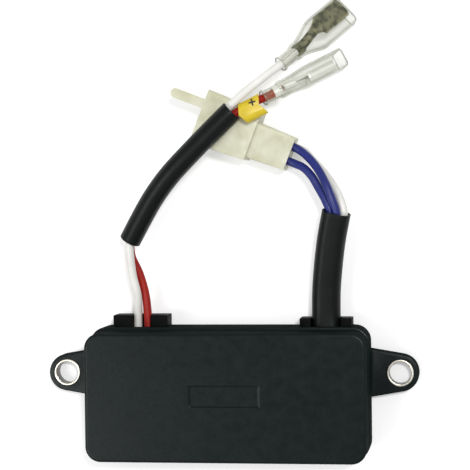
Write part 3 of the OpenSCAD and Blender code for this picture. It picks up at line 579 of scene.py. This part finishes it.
def sleeve(node, route, width, height):
    piece = tube(node + "_tube", smooth(route), width, height, SLEEVE_STEPS, False, black_sleeve)
    wall = piece.modifiers.new("wall", "SOLIDIFY")
    wall.thickness = SLEEVE_WALL
    wall.offset = -1
    rim = piece.modifiers.new("rim", "BEVEL")
    rim.width = RIM_SOFT
    rim.segments = 2
    rim.angle_limit = math.radians(60)
    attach(piece, "root")
    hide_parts(node)
    return piece


round_sleeve = sleeve("round_sleeve", round_route, ROUND_SLEEVE_D, ROUND_SLEEVE_D)
flat_sleeve = sleeve("flat_sleeve", flat_route, FLAT_SLEEVE_W, FLAT_SLEEVE_H)
print("sleeve faces:", len(round_sleeve.data.polygons), len(flat_sleeve.data.polygons))

# %% [markdown]
# ## The case
# The tray and the cover are moulded on the same rounded outline. Lofting rings of that outline, each drawn
# in by its own amount at its own height, gives every rounded edge a true curve to catch the light. A cover
# is then one list of insets and heights, read from the cavity's roof round the rim and up to the recess.

# %% Rings and lofts
def rounded_ring(width, depth, radius, steps=8):
    """A rounded rectangle round the origin, anticlockwise, with the same count of points at any size."""
    points = []
    for corner, (sx, sy) in enumerate(((1, 1), (-1, 1), (-1, -1), (1, -1))):
        for k in range(steps + 1):
            angle = math.radians(90 * (corner + k / steps))
            points.append((sx * (width / 2 - radius) + radius * math.cos(angle),
                           sy * (depth / 2 - radius) + radius * math.sin(angle)))
    return points


def loft(name, rings, capped=True):
    """Quads between rings of equal count, and a face on the first and the last ring."""
    count = len(rings[0])
    faces = []
    for start in range(0, (len(rings) - 1) * count, count):
        for j in range(count):
            near, far = start + j, start + (j + 1) % count
            faces.append((near, far, far + count, near + count))
    if capped:
        faces.append(tuple(reversed(range(count))))
        faces.append(tuple(range((len(rings) - 1) * count, len(rings) * count)))
    mesh = bpy.data.meshes.new(name)
    mesh.from_pydata([p for ring in rings for p in ring], [], faces)
    return mesh


def soften(mesh, degrees):
    """Smooth shading with sharp edges where faces meet at more than an angle."""
    mesh.polygons.foreach_set("use_smooth", [True] * len(mesh.polygons))
    mesh.set_sharp_from_angle(angle=math.radians(degrees))


def arc(centre, radius, start, end, steps):
    """Points of an arc in a section, as inset and height."""
    angles = [math.radians(start + (end - start) * k / steps) for k in range(steps + 1)]
    return [(centre[0] + radius * math.cos(a), centre[1] + radius * math.sin(a)) for a in angles]


# %% The case's sizes
CASE_W, CASE_D, CASE_R = 81.0, 38.1, 4.6
LEAD_SIDE = 13.8
FAR_SIDE = LEAD_SIDE - CASE_D
BASE_H, PANEL_TOP = 9.0, 21.0
WALL, FLOOR_T, FLANGE_H = 2.0, 1.8, 2.0
PANEL_INSET, LEAD_LIP, PANEL_LEAN, PANEL_ROUND = 0.15, 0.9, 0.1, 0.8
PLATE_W, PLATE_D, PLATE_DEEP, PLATE_Y, PLATE_R, PLATE_EDGE = 19.8, 5.9, 0.4, -5.1, 0.3, 0.04
# How far the flats run on beyond the panel's rounded edge and on both sides of the recess's edge
PANEL_FLAT, PLATE_FLAT = 0.3, 0.4
SEAM = 0.12
print("case:", CASE_W, "x", CASE_D, "x", PANEL_TOP, "mm")


def case_ring(inset, z, lead=None):
    """The case's outline, drawn in from it. The lead side may have an inset of its own."""
    lead = inset if lead is None else lead
    low, high = FAR_SIDE + inset, LEAD_SIDE - lead
    flat = rounded_ring(CASE_W - 2 * inset, high - low, CASE_R - inset)
    return [Vector((x, y + (low + high) / 2, z)) * MM for x, y in flat]


def plate_ring(inset, z):
    flat = rounded_ring(PLATE_W - 2 * inset, PLATE_D - 2 * inset, PLATE_R)
    return [Vector((x, y + PLATE_Y, z)) * MM for x, y in flat]


# %% The cover
LIP_ROUND, LIP_STEPS = 0.4, 4
FOOT_ROUND, FOOT_STEPS = 0.3, 3
ROUND_STEPS = 8


def cover_section():
    """Inset, inset on the lead side and height, from the cavity's roof to the flat of the panel."""
    inside, extra = PANEL_INSET + PANEL_LEAN + WALL, LEAD_LIP - PANEL_INSET
    section = [(inside, inside + extra, PANEL_TOP - WALL), (inside, inside + extra, BASE_H)]
    section += [(SEAM, SEAM, BASE_H), (0, 0, BASE_H + SEAM)]
    lip_z = BASE_H + FLANGE_H
    for lead, z in arc((LIP_ROUND, lip_z - LIP_ROUND), LIP_ROUND, 180, 90, LIP_STEPS):
        section.append((PANEL_INSET / 3 * lead / LIP_ROUND, lead, z))
    for lead, z in arc((LEAD_LIP - FOOT_ROUND, lip_z + FOOT_ROUND), FOOT_ROUND, -90, 0, FOOT_STEPS):
        risen = 1 - (LEAD_LIP - lead) / FOOT_ROUND
        section.append((PANEL_INSET * (2 + risen) / 3, lead, z))
    top = PANEL_INSET + PANEL_LEAN
    for inset, z in arc((top + PANEL_ROUND, PANEL_TOP - PANEL_ROUND), PANEL_ROUND, 180, 90, ROUND_STEPS):
        section.append((inset, inset + extra, z))
    flat = top + PANEL_ROUND + PANEL_FLAT
    return section + [(flat, flat + extra, PANEL_TOP)]


def recess_section():
    """Inset and height, from the panel over the edge of the plate recess to its floor."""
    bed = PANEL_TOP - PLATE_DEEP
    return [(-PLATE_FLAT, PANEL_TOP), (-PLATE_EDGE, PANEL_TOP), (0, PANEL_TOP - PLATE_EDGE),
            (0, bed + PLATE_EDGE), (PLATE_EDGE, bed), (PLATE_FLAT, bed)]


cover_rings = [case_ring(inset, z, lead) for inset, lead, z in cover_section()]
cover_rings += [plate_ring(inset, z) for inset, z in recess_section()]
cover = new_piece("cover_shell", loft("cover_shell", cover_rings))
soften(cover.data, 50)
dress(cover, case_plastic)
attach(cover, "root")
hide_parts("case_cover")
print("cover:", len(cover.data.polygons), "faces")

# %% [markdown]
# The tray is a second loft, joined with its two ears by a boolean. An ear is a tapering tongue with a round
# end, so its outline is two tangents on a circle. Booleans also cut the ear holes and the two notches that
# the cable grommets fill.

# %% The ears
EAR_X, EAR_T, EAR_TIP_R, EAR_ROOT_W = 49.0, 4.5, 5.4, 13.9
EAR_ROUND, EAR_ROUND_STEPS, EAR_FILLET = 0.4, 4, 1.0


def ear_ring(side, inset, z, steps=20):
    """The outline of an ear, from its root inside the wall, round the tip and back."""
    root, reach = -WALL / 2, EAR_X - CASE_W / 2
    half, tip = EAR_ROOT_W / 2 - inset, EAR_TIP_R - inset
    touch = math.atan2(half, -reach) - math.acos(tip / math.hypot(reach, half))
    around = [-touch + 2 * touch * k / steps for k in range(steps + 1)]
    outline = [(root, -half), (0, -half)]
    outline += [(reach + tip * math.cos(a), tip * math.sin(a)) for a in around]
    outline += [(0, half), (root, half)]
    flat = [Vector((side * (CASE_W / 2 + x), y, z)) * MM for x, y in outline]
    return flat if side > 0 else flat[::-1]


def ear_rings(side):
    rounded = arc((EAR_ROUND, 0), EAR_ROUND, 180, 90, EAR_ROUND_STEPS)
    edge = [(inset, EAR_T - EAR_ROUND + rise) for inset, rise in rounded]
    return [ear_ring(side, inset, z) for inset, z in [(0, 0)] + edge]


def ear_fillet(side, steps=6):
    """The hollow fillet between an ear's top and the wall, along the ear's root."""
    hollow = arc((EAR_FILLET, EAR_FILLET), EAR_FILLET, 270, 180, steps)
    profile = [(-WALL / 2, -WALL / 2), (EAR_FILLET, -WALL / 2)] + hollow + [(-WALL / 2, EAR_FILLET)]
    half = (EAR_ROOT_W - EAR_FILLET) / 2
    rings = [[Vector((side * (CASE_W / 2 + x), y, EAR_T + z)) * MM for x, z in profile]
             for y in (half, -half)]
    return loft("fillet", rings if side > 0 else rings[::-1])


# %% Helpers for cutting and joining
def drum(name, x, diameter, low, high, steps=64):
    ring = [(x + diameter / 2 * math.cos(a), diameter / 2 * math.sin(a))
            for a in (2 * math.pi * k / steps for k in range(steps))]
    return loft(name, [[Vector((px, py, z)) * MM for px, py in ring] for z in (low, high)])


def block(name, low, high):
    ring = [(low[0], low[1]), (high[0], low[1]), (high[0], high[1]), (low[0], high[1])]
    return loft(name, [[Vector((x, y, z)) * MM for x, y in ring] for z in (low[2], high[2])])


def combine(piece, mesh, operation):
    other = new_piece("other", mesh)
    joined = piece.modifiers.new("combine", "BOOLEAN")
    joined.operation = operation
    joined.object = other
    graph = bpy.context.evaluated_depsgraph_get()
    made = bpy.data.meshes.new_from_object(piece.evaluated_get(graph))
    piece.modifiers.clear()
    piece.data = made
    bpy.data.objects.remove(other)


# %% The tray
HOLE_D = 7.9
BOTTOM_ROUND, BOTTOM_STEPS = 0.6, 4
# Middle and width of the grommet in each notch, the notch's sill and how far the grommet laps its sides
NOTCHES = ((-26.0, 16.0), (28.0, 15.0))
NOTCH_Z, NOTCH_LAP = 2.35, 0.95
# How far a cutter reaches past what it cuts
CUT_PAST = 1.0

tray_section = arc((BOTTOM_ROUND, BOTTOM_ROUND), BOTTOM_ROUND, 270, 180, BOTTOM_STEPS)
tray_section += [(0, BASE_H - SEAM), (SEAM, BASE_H), (WALL, BASE_H), (WALL, FLOOR_T)]
tray = new_piece("tray_shell", loft("tray_shell", [case_ring(inset, z) for inset, z in tray_section]))
for side in (-1, 1):
    combine(tray, loft("ear", ear_rings(side)), "UNION")
    combine(tray, ear_fillet(side), "UNION")
    combine(tray, drum("hole", side * EAR_X, HOLE_D, -CUT_PAST, EAR_T + CUT_PAST), "DIFFERENCE")
for middle, width in NOTCHES:
    half = width / 2 - NOTCH_LAP
    low = (middle - half, LEAD_SIDE - WALL - CUT_PAST, NOTCH_Z)
    high = (middle + half, LEAD_SIDE + CUT_PAST, BASE_H + CUT_PAST)
    combine(tray, block("notch", low, high), "DIFFERENCE")
soften(tray.data, 40)
dress(tray, case_plastic)
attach(tray, "root")
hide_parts("case_base")
print("tray:", len(tray.data.polygons), "faces")

# %% [markdown]
# ## Bushings
# The two ears are lined with short steel tubes. One tree makes both: a small rounded section swept round a
# circle gives a ring with broken edges, and an instance on each of two points puts it in its ear.

# %% The bushing tree
BUSHING_STEPS, BUSHING_EDGE_STEPS = 72, 3


def bushing_tree():
    tree = bpy.data.node_groups.new("ear bushings", "GeometryNodeTree")
    for name in ("Spacing", "Bore", "Outside", "Length", "Edge"):
        tree.interface.new_socket(name, in_out="INPUT", socket_type="NodeSocketFloat")
    tree.interface.new_socket("Finish", in_out="INPUT", socket_type="NodeSocketMaterial")
    tree.interface.new_socket("Geometry", in_out="OUTPUT", socket_type="NodeSocketGeometry")
    given = add_node(tree, "NodeGroupInput").outputs

    def worked(operation, first, second):
        return add_node(tree, "ShaderNodeMath", {0: first, 1: second}, operation=operation).outputs[0]

    wall = worked("MULTIPLY", worked("SUBTRACT", given["Outside"], given["Bore"]), 0.5)
    middle = worked("MULTIPLY", worked("ADD", given["Outside"], given["Bore"]), 0.25)
    section = add_node(tree, "GeometryNodeCurvePrimitiveQuadrilateral", {
        "Width": wall, "Height": given["Length"]})
    eased = add_node(tree, "GeometryNodeFilletCurve", {
        "Curve": section.outputs["Curve"], "Count": BUSHING_EDGE_STEPS,
        "Radius": given["Edge"]}, mode="POLY")
    round_path = add_node(tree, "GeometryNodeCurvePrimitiveCircle", {
        "Resolution": BUSHING_STEPS, "Radius": middle})
    ring = add_node(tree, "GeometryNodeCurveToMesh", {
        "Curve": round_path.outputs["Curve"], "Profile Curve": eased.outputs["Curve"]})
    far = worked("MULTIPLY", given["Spacing"], 0.5)
    near = worked("MULTIPLY", given["Spacing"], -0.5)
    lift = worked("MULTIPLY", given["Length"], 0.5)
    start = add_node(tree, "ShaderNodeCombineXYZ", {"X": near, "Z": lift})
    end = add_node(tree, "ShaderNodeCombineXYZ", {"X": far, "Z": lift})
    ears = add_node(tree, "GeometryNodeMeshLine", {
        "Count": 2, "Start Location": start.outputs[0], "Offset": end.outputs[0]}, mode="END_POINTS")
    both = add_node(tree, "GeometryNodeInstanceOnPoints", {
        "Points": ears.outputs["Mesh"], "Instance": ring.outputs["Mesh"]})
    real = add_node(tree, "GeometryNodeRealizeInstances", {"Geometry": both.outputs["Instances"]})
    soft = add_node(tree, "GeometryNodeSetShadeSmooth", {"Geometry": real.outputs["Geometry"]})
    dressed = add_node(tree, "GeometryNodeSetMaterial", {
        "Geometry": soft.outputs["Geometry"], "Material": given["Finish"]})
    add_node(tree, "NodeGroupOutput", {"Geometry": dressed.outputs["Geometry"]})
    return tree


# %% The bushings
bushings = grown(
    "ear_bushings", bpy.data.meshes.new("ear_bushings"), bushing_tree(), Spacing=2 * EAR_X * MM,
    Bore=6.4 * MM, Outside=7.8 * MM, Length=4.7 * MM, Edge=0.2 * MM, Finish=zinc_steel)
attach(bushings, "root")
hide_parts("left_bushing", "right_bushing")
print("bushings:", len(bushings.data.polygons), "faces")

# %% [markdown]
# ## Small moulded and stamped pieces
# The grommets, the plug, its contacts and the marker ring already have the right form. What they lack is
# the small radius that every mould and every press tool leaves. A copy of each solid is merged, its flat
# faces are joined up again, and a narrow bevel softens the edges.

# %% Softened copies
MERGE_WITHIN, FLAT_WITHIN = 1e-6, math.radians(1)
BEVEL_FROM, BEVEL_STEPS = math.radians(35), 3


def softened(node, suffix, width, material):
    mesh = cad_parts[node].data.copy()
    shape = bmesh.new()
    shape.from_mesh(mesh)
    bmesh.ops.remove_doubles(shape, verts=shape.verts, dist=MERGE_WITHIN)
    bmesh.ops.dissolve_limit(shape, angle_limit=FLAT_WITHIN, verts=shape.verts, edges=shape.edges)
    shape.to_mesh(mesh)
    shape.free()
    mesh.polygons.foreach_set("use_smooth", [True] * len(mesh.polygons))
    piece = new_piece(node + suffix, mesh)
    dress(piece, material)
    edge = piece.modifiers.new("edges", "BEVEL")
    edge.width = width
    edge.segments = BEVEL_STEPS
    edge.limit_method = "ANGLE"
    edge.angle_limit = BEVEL_FROM
    edge.harden_normals = True
    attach(piece, "root")
    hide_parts(node)
    return piece


field_grommet = softened("field_grommet", "_block", 0.25 * MM, black_rubber)
sense_grommet = softened("sense_grommet", "_block", 0.25 * MM, black_rubber)
plug = softened("plug_housing", "_shell", 0.18 * MM, nylon)
marker = softened("marker_ring", "_tag", 0.3 * MM, marker_yellow)
contacts = [softened(f"plug_contact_{k}", "_pin", 0.1 * MM, contact_brass) for k in (1, 2, 3)]
print("softened:", field_grommet.name, sense_grommet.name, plug.name, marker.name,
      len(contacts), "contacts")

# %% [markdown]
# ## Spade terminals
# A receptacle is stamped from one strip of sheet. Its floor runs through from end to end, and the sides are
# rolled up from it by a different amount at each place: almost shut round the insulation, shut over the
# strands, low along the neck, and curled right over at the box. So one section, a flat floor between two
# arcs of sheet, is lofted over each stretch with its own width and roll, and a boolean joins the stretches.

# %% The rolled sheet
SHEET_T = 0.4
# Each stretch is a list of stations: place along the axis, half the floor, radius of the sides, degrees of
# roll and height of the floor
SPADE_STRETCHES = [
    [(5.7, 0.1, 1.65, 165, -1.65), (8.3, 0.1, 1.65, 165, -1.65)],
    [(8.0, 0.1, 1.65, 50, -1.64), (9.6, 0.35, 1.05, 80, -1.49)],
    [(9.1, 0.35, 1.05, 172, -1.5), (12.9, 0.35, 1.05, 172, -1.5)],
    [(12.5, 0.35, 1.05, 84, -1.49), (14.0, 0.45, 1.1, 80, -1.49), (15.2, 0.9, 1.3, 70, -1.49),
     (16.2, 1.35, 1.48, 64, -1.48), (16.9, 1.52, 1.48, 64, -1.48)],
    [(16.5, 1.55, 1.5, 262, -1.5), (25.2, 1.55, 1.5, 262, -1.5)]]
ROLL_STEPS = 14


def sheet_section(half, radius, roll, base):
    """The closed outline of a rolled strip, across and up, anticlockwise."""
    def side_to_side(r):
        right = arc((half, base + radius), r, -90, roll - 90, ROLL_STEPS)
        return [(-y, z) for y, z in reversed(right)] + right
    return side_to_side(radius) + side_to_side(radius - SHEET_T)[::-1]


# %% The terminals
NECK_FROM, NECK_LONG = 8.5, 6
UPSIDE_DOWN = Matrix.Rotation(math.pi, 4, "X")


def spade(node, place, shove, across, up, material):
    """A receptacle on a boot's axis. Its neck is bent a little, so its box lies against the boot's wall."""
    def ring(x, *shape):
        bent = min(max((x - NECK_FROM) / NECK_LONG, 0), 1)
        shift = Vector((x + shove, across * bent, up * bent))
        return [place @ ((Vector((0, y, z)) + shift) * MM) for y, z in sheet_section(*shape)]
    meshes = [loft(node, [ring(*station) for station in stretch]) for stretch in SPADE_STRETCHES]
    piece = new_piece(node + "_spade", meshes[0])
    for mesh in meshes[1:]:
        combine(piece, mesh, "UNION")
    soften(piece.data, 35)
    dress(piece, material)
    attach(piece, "root")
    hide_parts(node)
    return piece


minus_terminal = spade(
    "minus_terminal", MINUS_FRAME @ UPSIDE_DOWN, MINUS_SHOVE, across=-1.15, up=-0.75, material=dark_tin)
plus_terminal = spade("plus_terminal", PLUS_FRAME, PLUS_SHOVE, across=0, up=0.6, material=bright_tin)
print("terminals:", len(minus_terminal.data.polygons), len(plus_terminal.data.polygons), "faces")

# %% [markdown]
# ## Clear boots
# A boot is a thin vinyl sock with a beaded tail, a small collar, a flare and a flat mouth. Each of those is
# a ring at a place along its axis, so a loft from the round tail to the flat mouth makes the skin, and
# Solidify gives it a wall on the inside. The rings at the two open ends carry the number that paints shade
# on them, where the wall is seen edge on.

# %% The boots
BOOT_WALL = 0.5 * MM
# Place along the axis, width, thickness and corner radius of each ring
BOOT_RINGS = [
    (0.0, 4.5, 4.5, 2.25), (0.25, 4.75, 4.75, 2.37), (0.6, 4.75, 4.75, 2.37), (0.9, 4.3, 4.3, 2.15),
    (1.2, 4.1, 4.1, 2.05), (4.6, 4.1, 4.1, 2.05), (5.3, 4.9, 4.9, 2.45), (5.8, 5.2, 5.2, 2.6),
    (6.5, 5.25, 5.25, 2.62), (6.9, 5.1, 5.0, 2.5), (8.4, 5.7, 5.1, 2.4), (10.4, 6.9, 5.3, 2.2),
    (12.4, 8.4, 5.6, 1.9), (13.6, 9.3, 5.75, 1.7), (14.8, 9.65, 5.8, 1.6), (16.5, 9.7, 5.8, 1.6),
    (25.1, 9.7, 5.8, 1.6), (25.7, 9.65, 5.75, 1.6), (26.0, 9.4, 5.5, 1.5)]
# How much painted shade the rings at the two open ends get, where the wall is seen edge on
BOOT_RIM_SHADE = {0: 0.7, 1: 0.3, len(BOOT_RINGS) - 2: 0.25, len(BOOT_RINGS) - 1: 0.6}


def boot(node, place):
    rings = [[place @ (Vector((x, y, z)) * MM) for y, z in rounded_ring(*shape)]
             for x, *shape in BOOT_RINGS]
    piece = new_piece(node + "_skin", loft(node + "_skin", rings, capped=False))
    # Painted shade at the two open ends, kept in the rim number
    rim_shade = piece.data.attributes.new("rim", "FLOAT", "POINT")
    for i in range(len(rim_shade.data)):
        rim_shade.data[i].value = BOOT_RIM_SHADE.get(i // len(rings[0]), 0.0)
    soften(piece.data, 60)
    dress(piece, vinyl)
    wall = piece.modifiers.new("wall", "SOLIDIFY")
    wall.thickness = BOOT_WALL
    wall.offset = -1
    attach(piece, "root")
    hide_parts(node)
    return piece


minus_boot = boot("minus_boot", MINUS_FRAME)
plus_boot = boot("plus_boot", PLUS_FRAME)
print("boots:", len(minus_boot.data.polygons), "faces each")

# %% [markdown]
# ## The sign on the marker
# The yellow ring tells which field lead is positive. Its sign is two crossed bars that lie on the ring's
# upper face, a hair above it. One outline of twelve corners, lofted by the thickness of the print, makes
# both bars at once.

# %% The plus sign
SIGN_AT = Vector((0.6, 0.2, 2.12)) * MM
SIGN_LONG, SIGN_BROAD, SIGN_T = 2.0, 0.42, 0.06
SIGN_TURN = math.radians(-13.5)


def plus_sign():
    a, b = SIGN_LONG / 2, SIGN_BROAD / 2
    outline = [(b, b), (b, a), (-b, a), (-b, b), (-a, b), (-a, -b),
               (-b, -b), (-b, -a), (b, -a), (b, -b), (a, -b), (a, b)]
    place = MARKER_FRAME @ Matrix.Translation(SIGN_AT) @ Matrix.Rotation(SIGN_TURN, 4, "Z")
    rings = [[place @ (Vector((x, y, z)) * MM) for x, y in outline] for z in (0, SIGN_T)]
    piece = new_piece("marker_sign", loft("marker_sign", rings))
    dress(piece, sign_black)
    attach(piece, "root")
    return piece


sign = plus_sign()
print("sign:", len(sign.data.polygons), "faces")

# %% [markdown]
# ## Printing what the leads carry
# The five leads are free cords. Each prints how many pieces it carries.

# %% Cords
def declare(piece, carried):
    print(piece.name, "carries", len(carried), "pieces")


declare(white_field,
        [minus_terminal, minus_boot])
declare(red_field,
        [plus_terminal, plus_boot, round_sleeve, marker, sign])
declare(blue_upper,
        [plug, flat_sleeve, contacts[0]])
declare(blue_lower,
        [contacts[1]])
declare(white_sense,
        [contacts[2]])

# %% [markdown]
# ## Floor and light
# The picture has a white ground with one narrow shadow below the case. The floor is a plain diffuse sheet
# that is painted a little brighter for the camera than for the bounce light. A small key lamp stands close
# to the lens, so that the shadows hide behind the pieces that cast them. A wider side lamp stands on the
# left. Its edge is mirrored in the panel, which brightens towards that side. The world fills the rest.

# %% Floor
FLOOR_HALF = 1.5
FLOOR_Z = -0.05 * MM
BOUNCE_TONE, SHOWN_TONE, SHOWN_GLOW = 0.75, 0.95, 0.3


def pale_floor():
    mesh = bpy.data.meshes.new("floor")
    corners = [(-1, -1), (1, -1), (1, 1), (-1, 1)]
    mesh.from_pydata([(x * FLOOR_HALF, y * FLOOR_HALF, FLOOR_Z) for x, y in corners], [], [(0, 1, 2, 3)])
    floor = new_piece("floor", mesh)
    material = bpy.data.materials.new("pale_floor")
    material.use_nodes = True
    tree = material.node_tree
    tree.nodes.clear()
    path = add_node(tree, "ShaderNodeLightPath").outputs
    shown = path["Is Camera Ray"]
    for name in ("Is Glossy Ray", "Is Transmission Ray"):
        shown = add_node(tree, "ShaderNodeMath", {0: shown, 1: path[name]}, operation="MAXIMUM").outputs[0]
    ground = add_node(tree, "ShaderNodeBsdfDiffuse", {"Color": (BOUNCE_TONE,) * 3 + (1,)})
    bright = add_node(tree, "ShaderNodeBsdfDiffuse", {"Color": (SHOWN_TONE,) * 3 + (1,)})
    glow = add_node(tree, "ShaderNodeEmission", {"Color": (1, 1, 1, 1), "Strength": SHOWN_GLOW})
    lit = add_node(tree, "ShaderNodeAddShader", {0: bright.outputs[0], 1: glow.outputs[0]})
    mixed = add_node(tree, "ShaderNodeMixShader", {0: shown, 1: ground.outputs[0], 2: lit.outputs[0]})
    add_node(tree, "ShaderNodeOutputMaterial", {"Surface": mixed.outputs[0]})
    dress(floor, material)
    floor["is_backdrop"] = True
    return floor


floor = pale_floor()
print(floor.name, 2 * FLOOR_HALF, "m wide")

# %% Light
LIT_AT = (0, 0.04, 0)
WORLD_LEVEL = 0.45


def lamp(name, place, target, size, power):
    data = bpy.data.lights.new(name, "AREA")
    data.shape = "DISK"
    data.size = size
    data.energy = power
    light = bpy.data.objects.new(name, data)
    light.location = place
    light.rotation_mode = "QUATERNION"
    light.rotation_quaternion = (Vector(target) - Vector(place)).to_track_quat("-Z", "Y")
    scene.collection.objects.link(light)
    return light


key_lamp = lamp("key", (0.22, 0.21, 0.85), LIT_AT, size=0.12, power=3.3)
side_lamp = lamp("side", (-0.5, -0.2, 0.85), LIT_AT, size=0.5, power=3.4)
world = bpy.data.worlds.new("studio")
world.use_nodes = True
fill(world.node_tree, world.node_tree.nodes["Background"], {"Color": (1, 1, 1, 1), "Strength": WORLD_LEVEL})
scene.world = world
scene.view_settings.view_transform = "Standard"
print("lamps:", key_lamp.name, side_lamp.name, "world level:", WORLD_LEVEL)

# %% Sizes and finish
bpy.context.view_layer.update()
dressed_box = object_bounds()
growth = (dressed_box[1] - dressed_box[0]) - (cad_box[1] - cad_box[0])
print("grown by:", [round(side / MM, 2) for side in growth], "mm")
